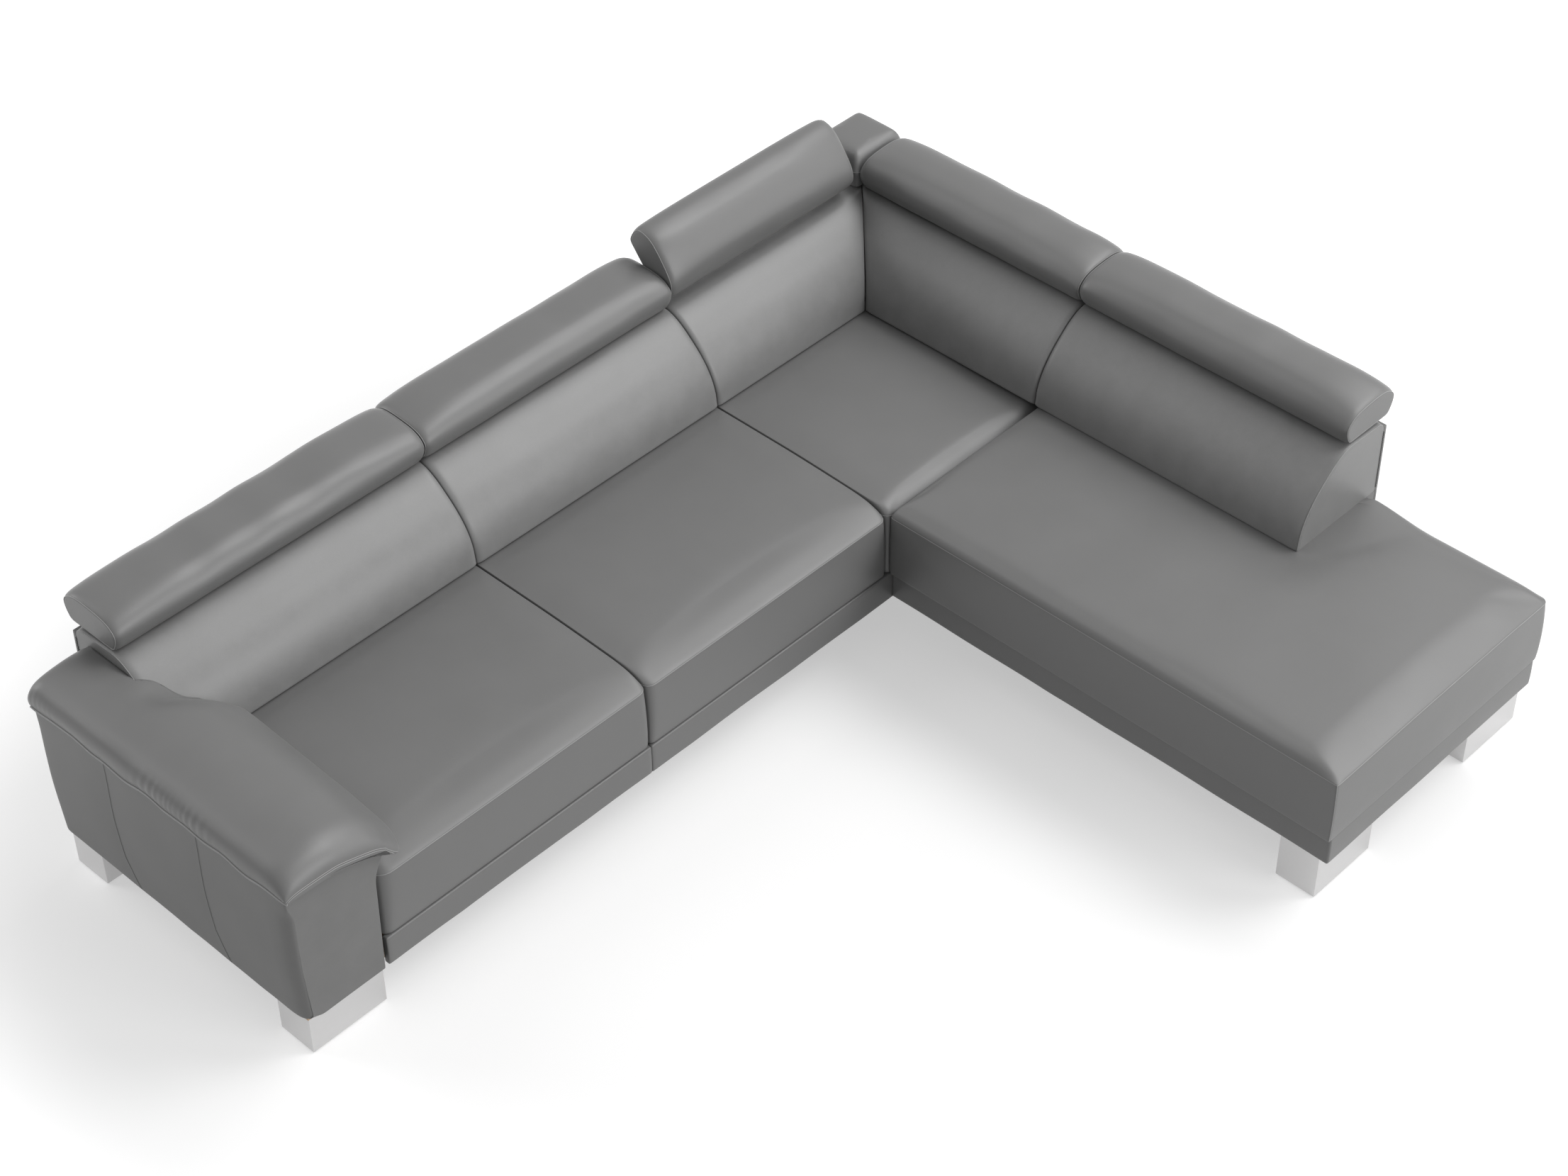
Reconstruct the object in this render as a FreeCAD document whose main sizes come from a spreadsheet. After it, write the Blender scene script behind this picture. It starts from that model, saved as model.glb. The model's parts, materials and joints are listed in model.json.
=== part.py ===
"""A leather corner sofa: a two-seat run with one armrest, a corner seat and a chaise.

The frame: the origin is the centre of the corner foot's underside, on the floor. +X runs along the
two-seat run towards the corner, +Y points to the rear of that run, +Z is up. The chaise reaches
forward along -Y. All sizes are millimetres.
"""

import FreeCAD, Part
import math
import os

import Sketcher

Vector = FreeCAD.Vector
Rotation = FreeCAD.Rotation
Placement = FreeCAD.Placement

# Driving sizes: alias, value
SIZES = [
    # plan of the sofa
    ("seat_width", 825),
    ("run_depth", 908),
    ("side_depth", 880),
    ("chaise_length", 1347),
    ("chaise_step", 30),
    ("chaise_set_in", 8),
    ("end_back_width", 826),
    ("joint_gap", 0.6),
    # heights
    ("base_height", 136),
    ("seat_bottom", 223),
    ("seat_height", 430),
    ("seat_rise", 9),
    ("seat_crown", 6),
    ("seat_roll", 26),
    ("front_belly", 6),
    ("draw_in", 12),
    ("rest_gap", 0.6),
    # wadding and foam
    ("wrap", 22),
    ("side_wrap", 10),
    ("bottom_cloth", 3),
    # section of the backs, as depths in front of the rear plane
    ("back_foot_depth", 332),
    ("belly_depth", 284),
    ("belly_height", 574),
    ("shoulder_depth", 208),
    ("shoulder_height", 642),
    ("lip_depth", 161),
    ("back_height", 668),
    ("belly_bulge", 13),
    ("back_roll", 15),
    # section of the headrests, measured from the hinge axis
    ("hinge_depth", 153),
    ("hinge_height", 722),
    ("headrest_tilt", 52),
    ("nose_reach", 28),
    ("headrest_rise", 52),
    ("headrest_rear", 176),
    ("headrest_sole", 51),
    ("headrest_wrap", 14),
    ("nose_round", 36),
    # hinge fittings
    ("plate_thickness", 5),
    ("cheek_thickness", 3),
    ("side_play", 0.5),
    ("pin_radius", 4),
    ("pin_clearance", 0.05),
    ("eye_root", 10.5),
    ("tooth_height", 2),
    ("tooth_steps", 6),
    ("cheek_radius", 17),
    ("pawl_clearance", 0.4),
    ("arm_half_width", 7),
    ("bracket_drop", 162),
    ("bracket_width", 30),
    ("board_thickness", 10),
    ("flange_width", 18),
    # armrest
    ("arm_width", 240),
    ("arm_gap", 7),
    ("arm_lead", 7),
    ("arm_set_back", 49),
    ("arm_lap", 92),
    ("arm_outer_height", 573),
    ("arm_inner_height", 512),
    ("arm_neck_height", 440),
    ("arm_flare", 32),
    ("arm_shell", 12),
    ("pad_thickness", 64),
    ("pad_front_lead", 20),
    ("pad_droop_reach", 52),
    # corner cap
    ("cap_length", 180),
    ("cap_depth", 160),
    ("cap_gap", 25),
    ("cap_side_gap", 3),
    ("cap_overhang", 16),
    ("cap_height", 757),
    # timber frames
    ("board", 22),
    ("rail_bottom", 138),
    ("webbing_thickness", 2),
    ("webbing_width", 70),
    ("frame_set_in", 24),
    ("strut_depth", 46),
    ("strut_height", 640),
    ("rear_panel", 12),
    ("frame_clearance", 2),
    ("rail_height", 40),
    ("strut_share", 0.22),
    ("corner_clear", 130),
    ("leg_set_in", 70),
    # base panels
    ("panel_thickness", 18),
    ("panel_set_in", 4),
    ("chaise_panel_set_in", 20),
    ("panel_roll", 7),
    # feet
    ("foot_length", 215),
    ("foot_depth", 110),
    ("foot_inset", 31),
    ("foot_wall", 3),
    ("glide_thickness", 3),
    ("glide_inset", 3),
    ("leg_width", 48),
    ("bolt_radius", 4),
    ("bolt_head_radius", 8),
    ("bolt_head_height", 6),
    ("bolt_length", 27),
    ("bolt_offset", 20),
    ("hole_clearance", 0.3),
]


class Size:
    """A number together with the sheet expression that gives it."""

    def __init__(self, value, text):
        self.value = float(value)
        self.text = text

    @staticmethod
    def of(other):
        if isinstance(other, Size):
            return other
        return Size(other, "(%r)" % float(other))

    def join(self, other, sign, value):
        return Size(value, "(%s %s %s)" % (self.text, sign, other.text))

    def __add__(self, other):
        other = Size.of(other)
        return self.join(other, "+", self.value + other.value)

    def __sub__(self, other):
        other = Size.of(other)
        return self.join(other, "-", self.value - other.value)

    def __mul__(self, other):
        other = Size.of(other)
        return self.join(other, "*", self.value * other.value)

    def __truediv__(self, other):
        other = Size.of(other)
        return self.join(other, "/", self.value / other.value)

    def __radd__(self, other):
        return Size.of(other) + self

    def __rsub__(self, other):
        return Size.of(other) - self

    def __rmul__(self, other):
        return Size.of(other) * self

    def __neg__(self):
        return Size(-self.value, "(0 - %s)" % self.text)


def cosine(angle):
    angle = Size.of(angle)
    return Size(math.cos(math.radians(angle.value)), "cos(%s * 1 deg)" % angle.text)


def sine(angle):
    angle = Size.of(angle)
    return Size(math.sin(math.radians(angle.value)), "sin(%s * 1 deg)" % angle.text)


class Sheet:
    """The spreadsheet of driving sizes, each reachable as an attribute."""

    def __init__(self, doc):
        self.sheet = doc.addObject("Spreadsheet::Sheet", "Sizes")
        for row, (alias, value) in enumerate(SIZES, start=1):
            self.sheet.set("A%d" % row, alias)
            self.sheet.set("B%d" % row, str(value))
            self.sheet.setAlias("B%d" % row, alias)
            setattr(self, alias, Size(value, "Sizes." + alias))


class Frame:
    """A local frame on the plan: turned ones have local X along -Y and local Y along +X."""

    def __init__(self, x, y, turned=False):
        self.x = Size.of(x)
        self.y = Size.of(y)
        self.turned = turned

    def point(self, x, y):
        if self.turned:
            return self.x + y, self.y - x
        return self.x + x, self.y + y

    def moved(self, x, y):
        return Frame(*self.point(x, y), turned=self.turned)


DOC = FreeCAD.newDocument("corner_sofa")
S = Sheet(DOC)
DOC.recompute()
NODES = []

# Main planes of the plan, from the corner foot's centre
X_RIGHT = S.foot_length / 2 + S.foot_inset
Y_REAR = S.foot_depth / 2 + S.foot_inset
X_IN = X_RIGHT - S.side_depth
Y_IN = Y_REAR - S.run_depth
X_SEATS = X_IN - S.seat_width * 2
X_ARM_IN = X_SEATS - S.arm_gap
X_ARM_OUT = X_ARM_IN - S.arm_width
Y_CHAISE = Y_IN - S.chaise_length
CORNER = Frame(X_IN, Y_IN)

ARM_LENGTH = S.run_depth + S.arm_lead - S.arm_set_back
CHAISE_WIDTH = S.side_depth - S.chaise_step

# Levels and depths that several pieces share
SEAT_REAR_TOP = S.seat_height + S.seat_rise
BACK_BOTTOM = SEAT_REAR_TOP + S.rest_gap
RAIL_TOP = S.seat_bottom - S.webbing_thickness - S.rest_gap
STRUT_REAR = S.rear_panel + S.frame_clearance
STRUT_FRONT = STRUT_REAR + S.strut_depth
FRAME_FRONT = STRUT_FRONT + S.board
SOLE = S.hinge_height - S.headrest_sole


def place(item, frame, x, y, z, tilt=None):
    """Put a piece at a point of a frame, turned with the frame or tilted about local X."""
    x, y = frame.point(Size.of(x), Size.of(y))
    z = Size.of(z)
    turn = Rotation(Vector(0, 0, 1), -90 if frame.turned else 0)
    if tilt is not None:
        turn = Rotation(Vector(1, 0, 0), tilt.value)
    item.Placement = Placement(Vector(x.value, y.value, z.value), turn)
    if tilt is not None:
        item.setExpression("Placement.Rotation.Angle", tilt.text)
    item.setExpression("Placement.Base.x", x.text)
    item.setExpression("Placement.Base.y", y.text)
    item.setExpression("Placement.Base.z", z.text)
    return item


def origin_plane(body, role):
    return [feature for feature in body.Origin.OriginFeatures if feature.Role == role][0]


def line(u, v):
    """A corner of an outline whose next edge is straight."""
    return Size.of(u), Size.of(v), None


def arc(u, v, bulge):
    """A corner of an outline whose next edge is an arc, bulging to the left by the given height."""
    return Size.of(u), Size.of(v), Size.of(bulge)


def edge_between(start, end, bulge):
    a = Vector(start[0].value, start[1].value, 0)
    b = Vector(end[0].value, end[1].value, 0)
    if bulge is None:
        return Part.LineSegment(a, b)
    along = (b - a).normalize()
    crest = (a + b) / 2 + Vector(-along.y, along.x, 0) * bulge.value
    if bulge.value > 0:
        a, b = b, a
    return Part.Arc(a, crest, b)


def arc_radius(start, end, bulge):
    across = end[0] - start[0]
    rise = end[1] - start[1]
    if bulge.value < 0:
        bulge = -bulge
    return ((across * across + rise * rise) / 4 + bulge * bulge) / (bulge * 2)


def outline_sketch(body, name, plane, offset, corners, holes=()):
    """A closed, fully constrained sketch on one of the body's own planes, at an offset from it."""
    sketch = body.newObject("Sketcher::SketchObject", name)
    sketch.AttachmentSupport = [(origin_plane(body, plane), "")]
    sketch.MapMode = "FlatFace"
    offset = Size.of(offset)
    sketch.AttachmentOffset = Placement(Vector(0, 0, offset.value), Rotation())
    sketch.setExpression("AttachmentOffset.Base.z", offset.text)
    count = len(corners)
    following = [corners[(i + 1) % count] for i in range(count)]
    edges = [edge_between(a, b, a[2]) for a, b in zip(corners, following)]
    sketch.addGeometry(edges, False)
    ends = []
    for corner, edge in zip(corners, sketch.Geometry):
        start = Vector(corner[0].value, corner[1].value, 0)
        starts_there = edge.StartPoint.distanceToPoint(start) < 1e-6
        ends.append((1, 2) if starts_there else (2, 1))
    rules = []
    bound = []
    for i in range(count):
        after = (i + 1) % count
        rules.append(Sketcher.Constraint("Coincident", i, ends[i][1], after, ends[after][0]))
    for i, corner in enumerate(corners):
        for kind, value in (("DistanceX", corner[0]), ("DistanceY", corner[1])):
            bound.append((len(rules), value))
            rules.append(Sketcher.Constraint(kind, -1, 1, i, ends[i][0], value.value))
        if corner[2] is not None:
            radius = arc_radius(corner, following[i], corner[2])
            bound.append((len(rules), radius))
            rules.append(Sketcher.Constraint("Radius", i, radius.value))
    for number, (u, v, radius) in enumerate(holes, start=count):
        u, v, radius = Size.of(u), Size.of(v), Size.of(radius)
        circle = Part.Circle(Vector(u.value, v.value, 0), Vector(0, 0, 1), radius.value)
        sketch.addGeometry(circle, False)
        for kind, value in (("DistanceX", u), ("DistanceY", v)):
            bound.append((len(rules), value))
            rules.append(Sketcher.Constraint(kind, -1, 1, number, 3, value.value))
        bound.append((len(rules), radius))
        rules.append(Sketcher.Constraint("Radius", number, radius.value))
    sketch.addConstraint(rules)
    for number, value in bound:
        sketch.setExpression("Constraints[%d]" % number, value.text)
    return sketch


def prism(name, frame, plane, corners, start, length, at=(0, 0, 0), tilt=None, holes=()):
    """A body padded from one outline. YZ outlines run along +X, XZ ones along -Y, XY ones up."""
    body = DOC.addObject("PartDesign::Body", name)
    sketch = outline_sketch(body, name + "_outline", plane + "_Plane", start, corners, holes)
    pad = body.newObject("PartDesign::Pad", name + "_pad")
    pad.Profile = sketch
    length = Size.of(length)
    pad.Length = length.value
    pad.setExpression("Length", length.text)
    body.Tip = pad
    return place(body, frame, *at, tilt=tilt)


def cushion(name, frame, plane, stations, at=(0, 0, 0), tilt=None):
    """A soft form lofted through outlines set one behind the other."""
    body = DOC.addObject("PartDesign::Body", name)
    sketches = []
    for number, (offset, corners) in enumerate(stations):
        label = "%s_section_%d" % (name, number)
        sketches.append(outline_sketch(body, label, plane + "_Plane", offset, corners))
    DOC.recompute()
    loft = body.newObject("PartDesign::AdditiveLoft", name + "_loft")
    loft.Profile = sketches[0]
    loft.Sections = [(sketch, [""]) for sketch in sketches[1:]]
    loft.Ruled = True
    body.Tip = loft
    return place(body, frame, *at, tilt=tilt)


def block(name, frame, x, y, z, length, depth, height):
    """A plain board or block: length along local X, depth along local Y."""
    item = DOC.addObject("Part::Box", name)
    for attribute, value in (("Length", length), ("Width", depth), ("Height", height)):
        value = Size.of(value)
        setattr(item, attribute, value.value)
        item.setExpression(attribute, value.text)
    return place(item, frame, x, y, z)


def upright_rod(name, frame, x, y, z, radius, height):
    """A round rod that stands along Z."""
    item = DOC.addObject("Part::Cylinder", name)
    for attribute, value in (("Radius", radius), ("Height", height)):
        value = Size.of(value)
        setattr(item, attribute, value.value)
        item.setExpression(attribute, value.text)
    return place(item, frame, x, y, z)


def cut(name, base, *tools):
    """The base with each tool cut from it."""
    for number, tool in enumerate(tools, start=1):
        step = name if number == len(tools) else "%s_cut_%d" % (name, number)
        item = DOC.addObject("Part::Cut", step)
        item.Base = base
        item.Tool = tool
        base = item
    return base


def joined(name, *items):
    item = DOC.addObject("Part::MultiFuse", name)
    item.Shapes = list(items)
    return item


def group(name, items):
    """Separate solids that share one node."""
    item = DOC.addObject("Part::Compound", name)
    item.Links = list(items)
    return item


def node(name, item):
    item.Label = name
    NODES.append(item)
    return item


def rectangle(u0, v0, u1, v1):
    """Clockwise corners of an upright rectangle."""
    return [line(u0, v0), line(u0, v1), line(u1, v1), line(u1, v0)]


def drawn_stations(length, roll, section, draw):
    """Outlines of a cushion that is drawn in at both ends and full in the middle."""
    start = S.joint_gap / 2
    end = length - S.joint_gap / 2
    return [
        (start, section(draw, 0)),
        (start + roll * 0.6, section(draw * 0.25, 0.3)),
        (length * 0.5, section(draw * 0, 1)),
        (end - roll * 0.6, section(draw * 0.25, 0.3)),
        (end, section(draw, 0)),
    ]


def hexagon(half):
    """Corners of a bolt's hexagon head, from its half width across corners."""
    flat = half * 0.866
    return [
        line(-half, 0),
        line(half * -0.5, flat),
        line(half * 0.5, flat),
        line(half, 0),
        line(half * 0.5, -flat),
        line(half * -0.5, -flat),
    ]


# Seats


def seat_section(draw, fullness):
    """Side view of a run seat: belly at the front, rolled front edge, crowned top, flat rear."""
    front_top = S.seat_height - S.seat_roll + 4
    return [
        arc(3 + draw, S.seat_bottom, S.front_belly),
        arc(draw * 0.8, front_top - draw * 0.5, S.seat_roll * 0.3),
        arc(S.seat_roll + draw * 0.8, S.seat_height + 3 - draw, S.seat_crown * (0.3 + 0.7 * fullness)),
        line(S.run_depth - S.back_foot_depth, SEAT_REAR_TOP - draw * 0.4),
        line(S.run_depth - FRAME_FRONT + S.board, SEAT_REAR_TOP - draw * 0.4),
        line(S.run_depth - FRAME_FRONT + S.board, S.seat_bottom),
    ]


def seat_core(name, frame, x, y, length, depth):
    height = S.seat_height - S.wrap - S.seat_bottom
    return block(name, frame, x, y, S.seat_bottom + S.bottom_cloth, length, depth, height)


def run_seat(number):
    name = "seat_%d" % number
    frame = Frame(X_IN - S.seat_width * (3 - number), Y_IN)
    stations = drawn_stations(S.seat_width, S.seat_roll, seat_section, S.draw_in)
    form = cushion(name + "_form", frame, "YZ", stations)
    depth = S.run_depth - FRAME_FRONT + S.board - S.wrap * 2
    core = seat_core(name + "_core", frame, S.side_wrap, S.wrap, S.seat_width - S.side_wrap * 2, depth)
    node(name + "_core", core)
    node(name + "_cover", cut(name + "_cover", form, core))


def corner_seat():
    reach = S.side_depth - STRUT_FRONT
    depth = S.run_depth - STRUT_FRONT
    crown_end = S.side_depth - S.back_foot_depth

    def section(draw, fullness):
        edge = S.joint_gap / 2
        return [
            line(edge + draw, S.seat_bottom),
            arc(edge + draw, S.seat_height - 8 - draw, S.seat_roll * 0.14),
            arc(edge + S.seat_roll * 0.5 + draw, S.seat_height + 5 - draw, 0.3 + S.seat_crown * fullness),
            line(S.run_depth - S.back_foot_depth, SEAT_REAR_TOP - draw * 0.4),
            line(depth, SEAT_REAR_TOP - draw * 0.4),
            line(depth, S.seat_bottom),
        ]

    soft = S.draw_in * 0.6
    stations = [
        (S.joint_gap / 2, section(soft, 0)),
        (S.seat_roll * 0.4, section(soft * 0.4, 0.2)),
        (S.seat_roll, section(soft * 0.12, 0.4)),
        (crown_end * 0.5, section(soft * 0, 1)),
        (crown_end, section(soft * 0, 0)),
        (reach, section(soft * 0, 0)),
    ]
    form = cushion("corner_seat_form", CORNER, "YZ", stations)
    core = seat_core("corner_seat_core", CORNER, S.wrap, S.wrap, reach - S.wrap * 2, depth - S.wrap * 2)
    node("corner_seat_core", core)
    node("corner_seat_cover", cut("corner_seat_cover", form, core))


def chaise():
    left = S.chaise_set_in
    right = CHAISE_WIDTH
    middle = S.side_depth - S.back_foot_depth
    beside_back = S.side_depth - STRUT_FRONT
    front_top = S.seat_height - S.seat_roll + 4
    deck = S.seat_height + 4

    def section(draw, level, left_crown, right_crown, right_level):
        return [
            arc(left + 4 + draw, S.seat_bottom, S.front_belly),
            arc(left + draw * 0.8, front_top - draw * 0.5, S.seat_roll * 0.3),
            arc(left + S.seat_roll + draw * 0.8, deck - draw, left_crown),
            arc(middle, level - draw, right_crown),
            arc(right - S.seat_roll - draw * 0.8, right_level - draw, S.seat_roll * 0.3),
            arc(right - draw * 0.8, front_top - draw * 0.5, S.front_belly),
            line(right - 4 - draw, S.seat_bottom),
        ]

    def open_end(draw, fullness):
        crown = 2 + S.seat_crown * fullness
        return section(draw, SEAT_REAR_TOP + 3 * fullness, crown, crown, deck)

    def beside(draw, fullness):
        crown = 0.5 + S.seat_crown * fullness
        return section(draw, SEAT_REAR_TOP + draw * 0.6, crown, 0.3, SEAT_REAR_TOP + draw * 0.6)

    draw = S.draw_in * 1.1
    soft = S.draw_in * 0.6
    rear = S.joint_gap / 2
    front = S.chaise_length
    stations = [
        (rear, beside(soft, 0)),
        (S.seat_roll * 0.6, beside(soft * 0.25, 0.3)),
        (S.end_back_width * 0.5, beside(soft * 0, 1)),
        (S.end_back_width, beside(soft * 0, 1)),
        ((S.end_back_width + S.chaise_length) * 0.5, open_end(soft * 0, 1)),
        (front - S.seat_roll * 1.2, open_end(draw * 0.12, 0.7)),
        (front - S.seat_roll * 0.4, open_end(draw * 0.5, 0.2)),
        (front, open_end(draw, 0)),
    ]
    form = cushion("chaise_form", CORNER, "XZ", stations)
    notch_depth = S.end_back_width + S.joint_gap
    notch = block("chaise_notch", CORNER, beside_back, -notch_depth, 0, right, notch_depth * 2, SEAT_REAR_TOP * 2)
    shelf = block(
        "chaise_shelf", CORNER, middle, -S.end_back_width - S.joint_gap, SEAT_REAR_TOP + 0.1,
        right, S.end_back_width * 2, S.seat_height,
    )
    inner = left + S.wrap
    outer = right - S.wrap
    step = beside_back - S.wrap
    front_wall = -S.chaise_length + S.wrap
    step_wall = -notch_depth - S.wrap
    corners = [
        line(inner, front_wall),
        line(inner, -S.wrap),
        line(step, -S.wrap),
        line(step, step_wall),
        line(outer, step_wall),
        line(outer, front_wall),
    ]
    height = S.seat_height - S.wrap - S.seat_bottom
    core = prism(
        "chaise_core", CORNER, "XY", corners, 0, height, at=(0, 0, S.seat_bottom + S.bottom_cloth)
    )
    node("chaise_core", core)
    node("chaise_cover", cut("chaise_cover", form, notch, shelf, core))


# Backs


def back_section(draw, fullness):
    """Side view of a back: foot, belly, shoulder and lip, then the flat top under the headrest."""
    full = draw * 0.8
    return [
        arc(draw - S.back_foot_depth, BACK_BOTTOM, S.belly_bulge),
        line(draw - S.belly_depth, S.belly_height - full),
        arc(full - S.shoulder_depth, S.shoulder_height - full, 5),
        arc(full * 0.5 - S.lip_depth, S.back_height - full * 0.5, 1 + fullness),
        arc(-S.rear_panel - S.back_roll, S.back_height - 8 - full * 0.4, S.back_roll * 0.3),
        line(-S.rear_panel, S.back_height - 8 - S.back_roll - full * 0.4),
        line(-S.rear_panel, BACK_BOTTOM),
    ]


def core_outline():
    """Foam of a back: the section less its wadding, in front of the frame's rails."""
    return [
        line(S.wrap - S.back_foot_depth + 4, BACK_BOTTOM + S.bottom_cloth),
        line(S.wrap - S.belly_depth, S.belly_height - S.wrap),
        line(S.wrap - S.shoulder_depth + 6, S.shoulder_height - S.wrap - 6),
        line(S.wrap - S.lip_depth, S.strut_height),
        line(-FRAME_FRONT, S.strut_height),
        line(-FRAME_FRONT, BACK_BOTTOM + S.bottom_cloth),
    ]


def mitre_tool(name, frame, length, shift):
    """A wedge beyond the 45 degree joint of the two corner backs, moved back by a shift."""
    reach = S.run_depth
    if frame.turned:
        corners = [
            line(shift - reach, reach),
            line(shift + reach, -reach),
            line(-reach, -reach),
        ]
    else:
        corners = [
            line(length - shift - reach, -reach),
            line(length - shift + reach, reach),
            line(length + reach, -reach),
        ]
    return prism(name, frame, "XY", corners, 0, S.hinge_height * 2)


def strut_positions(start, width):
    share = S.strut_share
    return [start + width * share, start + width * (1 - share)]


def back(number, frame, width, struts, mitred=False):
    """One back: leather cover over foam, hollow behind for the frame, slots for the brackets."""
    name = "back_%d" % number
    full = drawn_stations(width, S.seat_roll, back_section, S.draw_in)
    if mitred and frame.turned:
        full = [(Size.of(0), back_section(S.draw_in * 0, 1))] + full[2:]
    elif mitred:
        full = full[:3] + [(width, back_section(S.draw_in * 0, 1))]
    form = cushion(name + "_form", frame, "YZ", full)
    inner = width - S.side_wrap * 2
    core = prism(name + "_foam", frame, "YZ", core_outline(), S.side_wrap, inner)
    hollow = block(
        name + "_hollow", frame, S.side_wrap, -FRAME_FRONT, BACK_BOTTOM - 30,
        inner, S.strut_depth + S.board + S.frame_clearance, S.strut_height - BACK_BOTTOM + 30,
    )
    tools = []
    if mitred:
        form = cut(name + "_mitred", form, mitre_tool(name + "_mitre", frame, width, S.joint_gap))
        wall = S.side_wrap * 2
        core = cut(name + "_mitred_foam", core, mitre_tool(name + "_foam_mitre", frame, width, wall))
        corner = corner_space(name + "_corner")
        core = cut(name + "_core", core, corner)
        hollow = cut(name + "_open", hollow, mitre_tool(name + "_hollow_mitre", frame, width, wall))
        tools.append(corner_space(name + "_corner_space"))
    for index, x in enumerate(struts):
        tools.append(bracket_slot("%s_slot_%d" % (name, index), frame, x))
    node(name + "_cover", cut(name + "_cover", form, core, hollow, *tools))
    return core


def bracket_slot(name, frame, x):
    """The slit in a back's top through which a headrest bracket rises."""
    room = 1
    return block(
        name, frame, x - room, -STRUT_FRONT - 12, S.strut_height - 1,
        S.plate_thickness + room * 2, S.bracket_width + 14, S.rail_height,
    )


def corner_space(name):
    """The open corner behind the mitred backs, which the corner post and the cap's core fill."""
    return block(
        name, Frame(X_RIGHT, Y_REAR), -S.cap_length + 12, -S.cap_depth + 12, BACK_BOTTOM - 30,
        S.cap_length - 12 - S.rear_panel + 1, S.cap_depth - 12 - S.rear_panel + 1,
        SOLE - BACK_BOTTOM + 30,
    )


# Headrests and their ratchet hinges


def chord(start, end, across, up):
    """A corner of a rounded edge, at given shares of the way from its start to its end."""
    return line(start[0] + (end[0] - start[0]) * across, start[1] + (end[1] - start[1]) * up)


def headrest_section(draw, fullness):
    """End view of a headrest about its hinge axis: nose, crowned top, round rear, flat sole."""
    top = S.headrest_rise - draw
    nose = (draw * 0.5 - S.nose_reach, Size.of(-6))
    brow = (S.nose_round - S.nose_reach + draw * 0.4, top - 5 + draw * 0.3)
    crest = (S.headrest_rear - S.nose_round, top)
    rear = (S.headrest_rear - draw * 0.3, top - S.nose_round - 8 + draw * 0.5)
    return [
        line(draw * 0.1 - 10, -S.headrest_sole),
        line(nose[0] + 3, -28),
        line(*nose),
        chord(nose, brow, 0.13, 0.5),
        chord(nose, brow, 0.48, 0.87),
        arc(*brow, 3 + 2 * fullness),
        line(*crest),
        chord(crest, rear, 0.5, 0.13),
        chord(crest, rear, 0.87, 0.5),
        line(*rear),
        line(rear[0] - 2, rear[1] - 26),
        line(S.headrest_rear - 20, -S.headrest_sole),
    ]


def pocket_outline():
    """The space that the fixed bracket sweeps inside a headrest as it turns."""
    eye = S.cheek_radius + 1
    low = -S.headrest_sole - 8
    return [
        line(-1.5, low),
        line(-2, -38),
        line(-eye, -10),
        line(-eye, 10),
        line(-8, eye + 2),
        line(10, eye + 2),
        line(22, 8),
        line(S.headrest_rear - 57, 2 - S.headrest_sole),
        line(S.headrest_rear - 57, low),
    ]


def cheek_outline():
    """A cheek plate: an eye round the pin on a foot that reaches down to the board's slot."""
    low = S.board_thickness - S.headrest_sole - 6
    top = S.cheek_radius - 1
    return [
        line(4, low),
        line(-top, -8),
        line(-top, 6),
        line(-7, top),
        line(6, top),
        line(S.headrest_rear * 0.5, low + 14),
        line(S.headrest_rear * 0.5, low),
    ]


def headrest_board_outline():
    low = 3 - S.headrest_sole
    return rectangle(-4, low, S.headrest_rear - 32, low + S.board_thickness)


def headrest_core_outline():
    low = 3 - S.headrest_sole + S.board_thickness
    wrap = S.headrest_wrap
    return [
        line(-4, low),
        line(wrap - S.nose_reach + 2, -8),
        line(wrap - S.nose_reach + 6, S.headrest_rise - wrap - 20),
        line(S.nose_round - wrap, S.headrest_rise - wrap - 10),
        line(S.headrest_rear - S.nose_round - 6, S.headrest_rise - wrap - 6),
        line(S.headrest_rear - wrap - 10, 0),
        line(S.headrest_rear - 32, low),
    ]


def headrest_hinge(name, frame, at, tilt, x):
    """Moving half of one hinge: two flanged cheeks, the pivot pin and the pawl over the teeth."""
    inner = S.plate_thickness / 2 + S.side_play
    middle = x + S.plate_thickness / 2
    foot = 3 - S.headrest_sole + S.board_thickness
    pieces = []
    flanges = []
    for side, start in (("left", middle - inner - S.cheek_thickness), ("right", middle + inner)):
        label = "%s_%s" % (name, side)
        plate = prism(label + "_plate", frame, "YZ", cheek_outline(), start, S.cheek_thickness, at, tilt)
        flange_start = start - S.flange_width if side == "left" else start + S.cheek_thickness
        outline = rectangle(30, foot, 84, foot + S.cheek_thickness)
        flange = prism(label + "_flange", frame, "YZ", outline, flange_start, S.flange_width, at, tilt)
        flanges.append(flange)
        pieces += [plate, flange]
    width = (inner + S.cheek_thickness) * 2
    start = middle - inner - S.cheek_thickness
    radius = S.pin_radius
    round_outline = [arc(-radius, 0, radius * 0.999), arc(radius, 0, radius * 0.999)]
    pin_length = (inner + S.cheek_thickness / 2) * 2
    pin_start = middle - inner - S.cheek_thickness / 2
    pieces.append(prism(name + "_pin", frame, "YZ", round_outline, pin_start, pin_length, at, tilt))
    low = S.eye_root + S.tooth_height + S.pawl_clearance
    pawl = rectangle(-5, low, 3, S.cheek_radius - 1)
    pieces.append(prism(name + "_pawl", frame, "YZ", pawl, pin_start, pin_length, at, tilt))
    pocket = prism(name + "_pocket", frame, "YZ", pocket_outline(), start, width, at, tilt)
    return joined(name, *pieces), flanges, pocket


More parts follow.
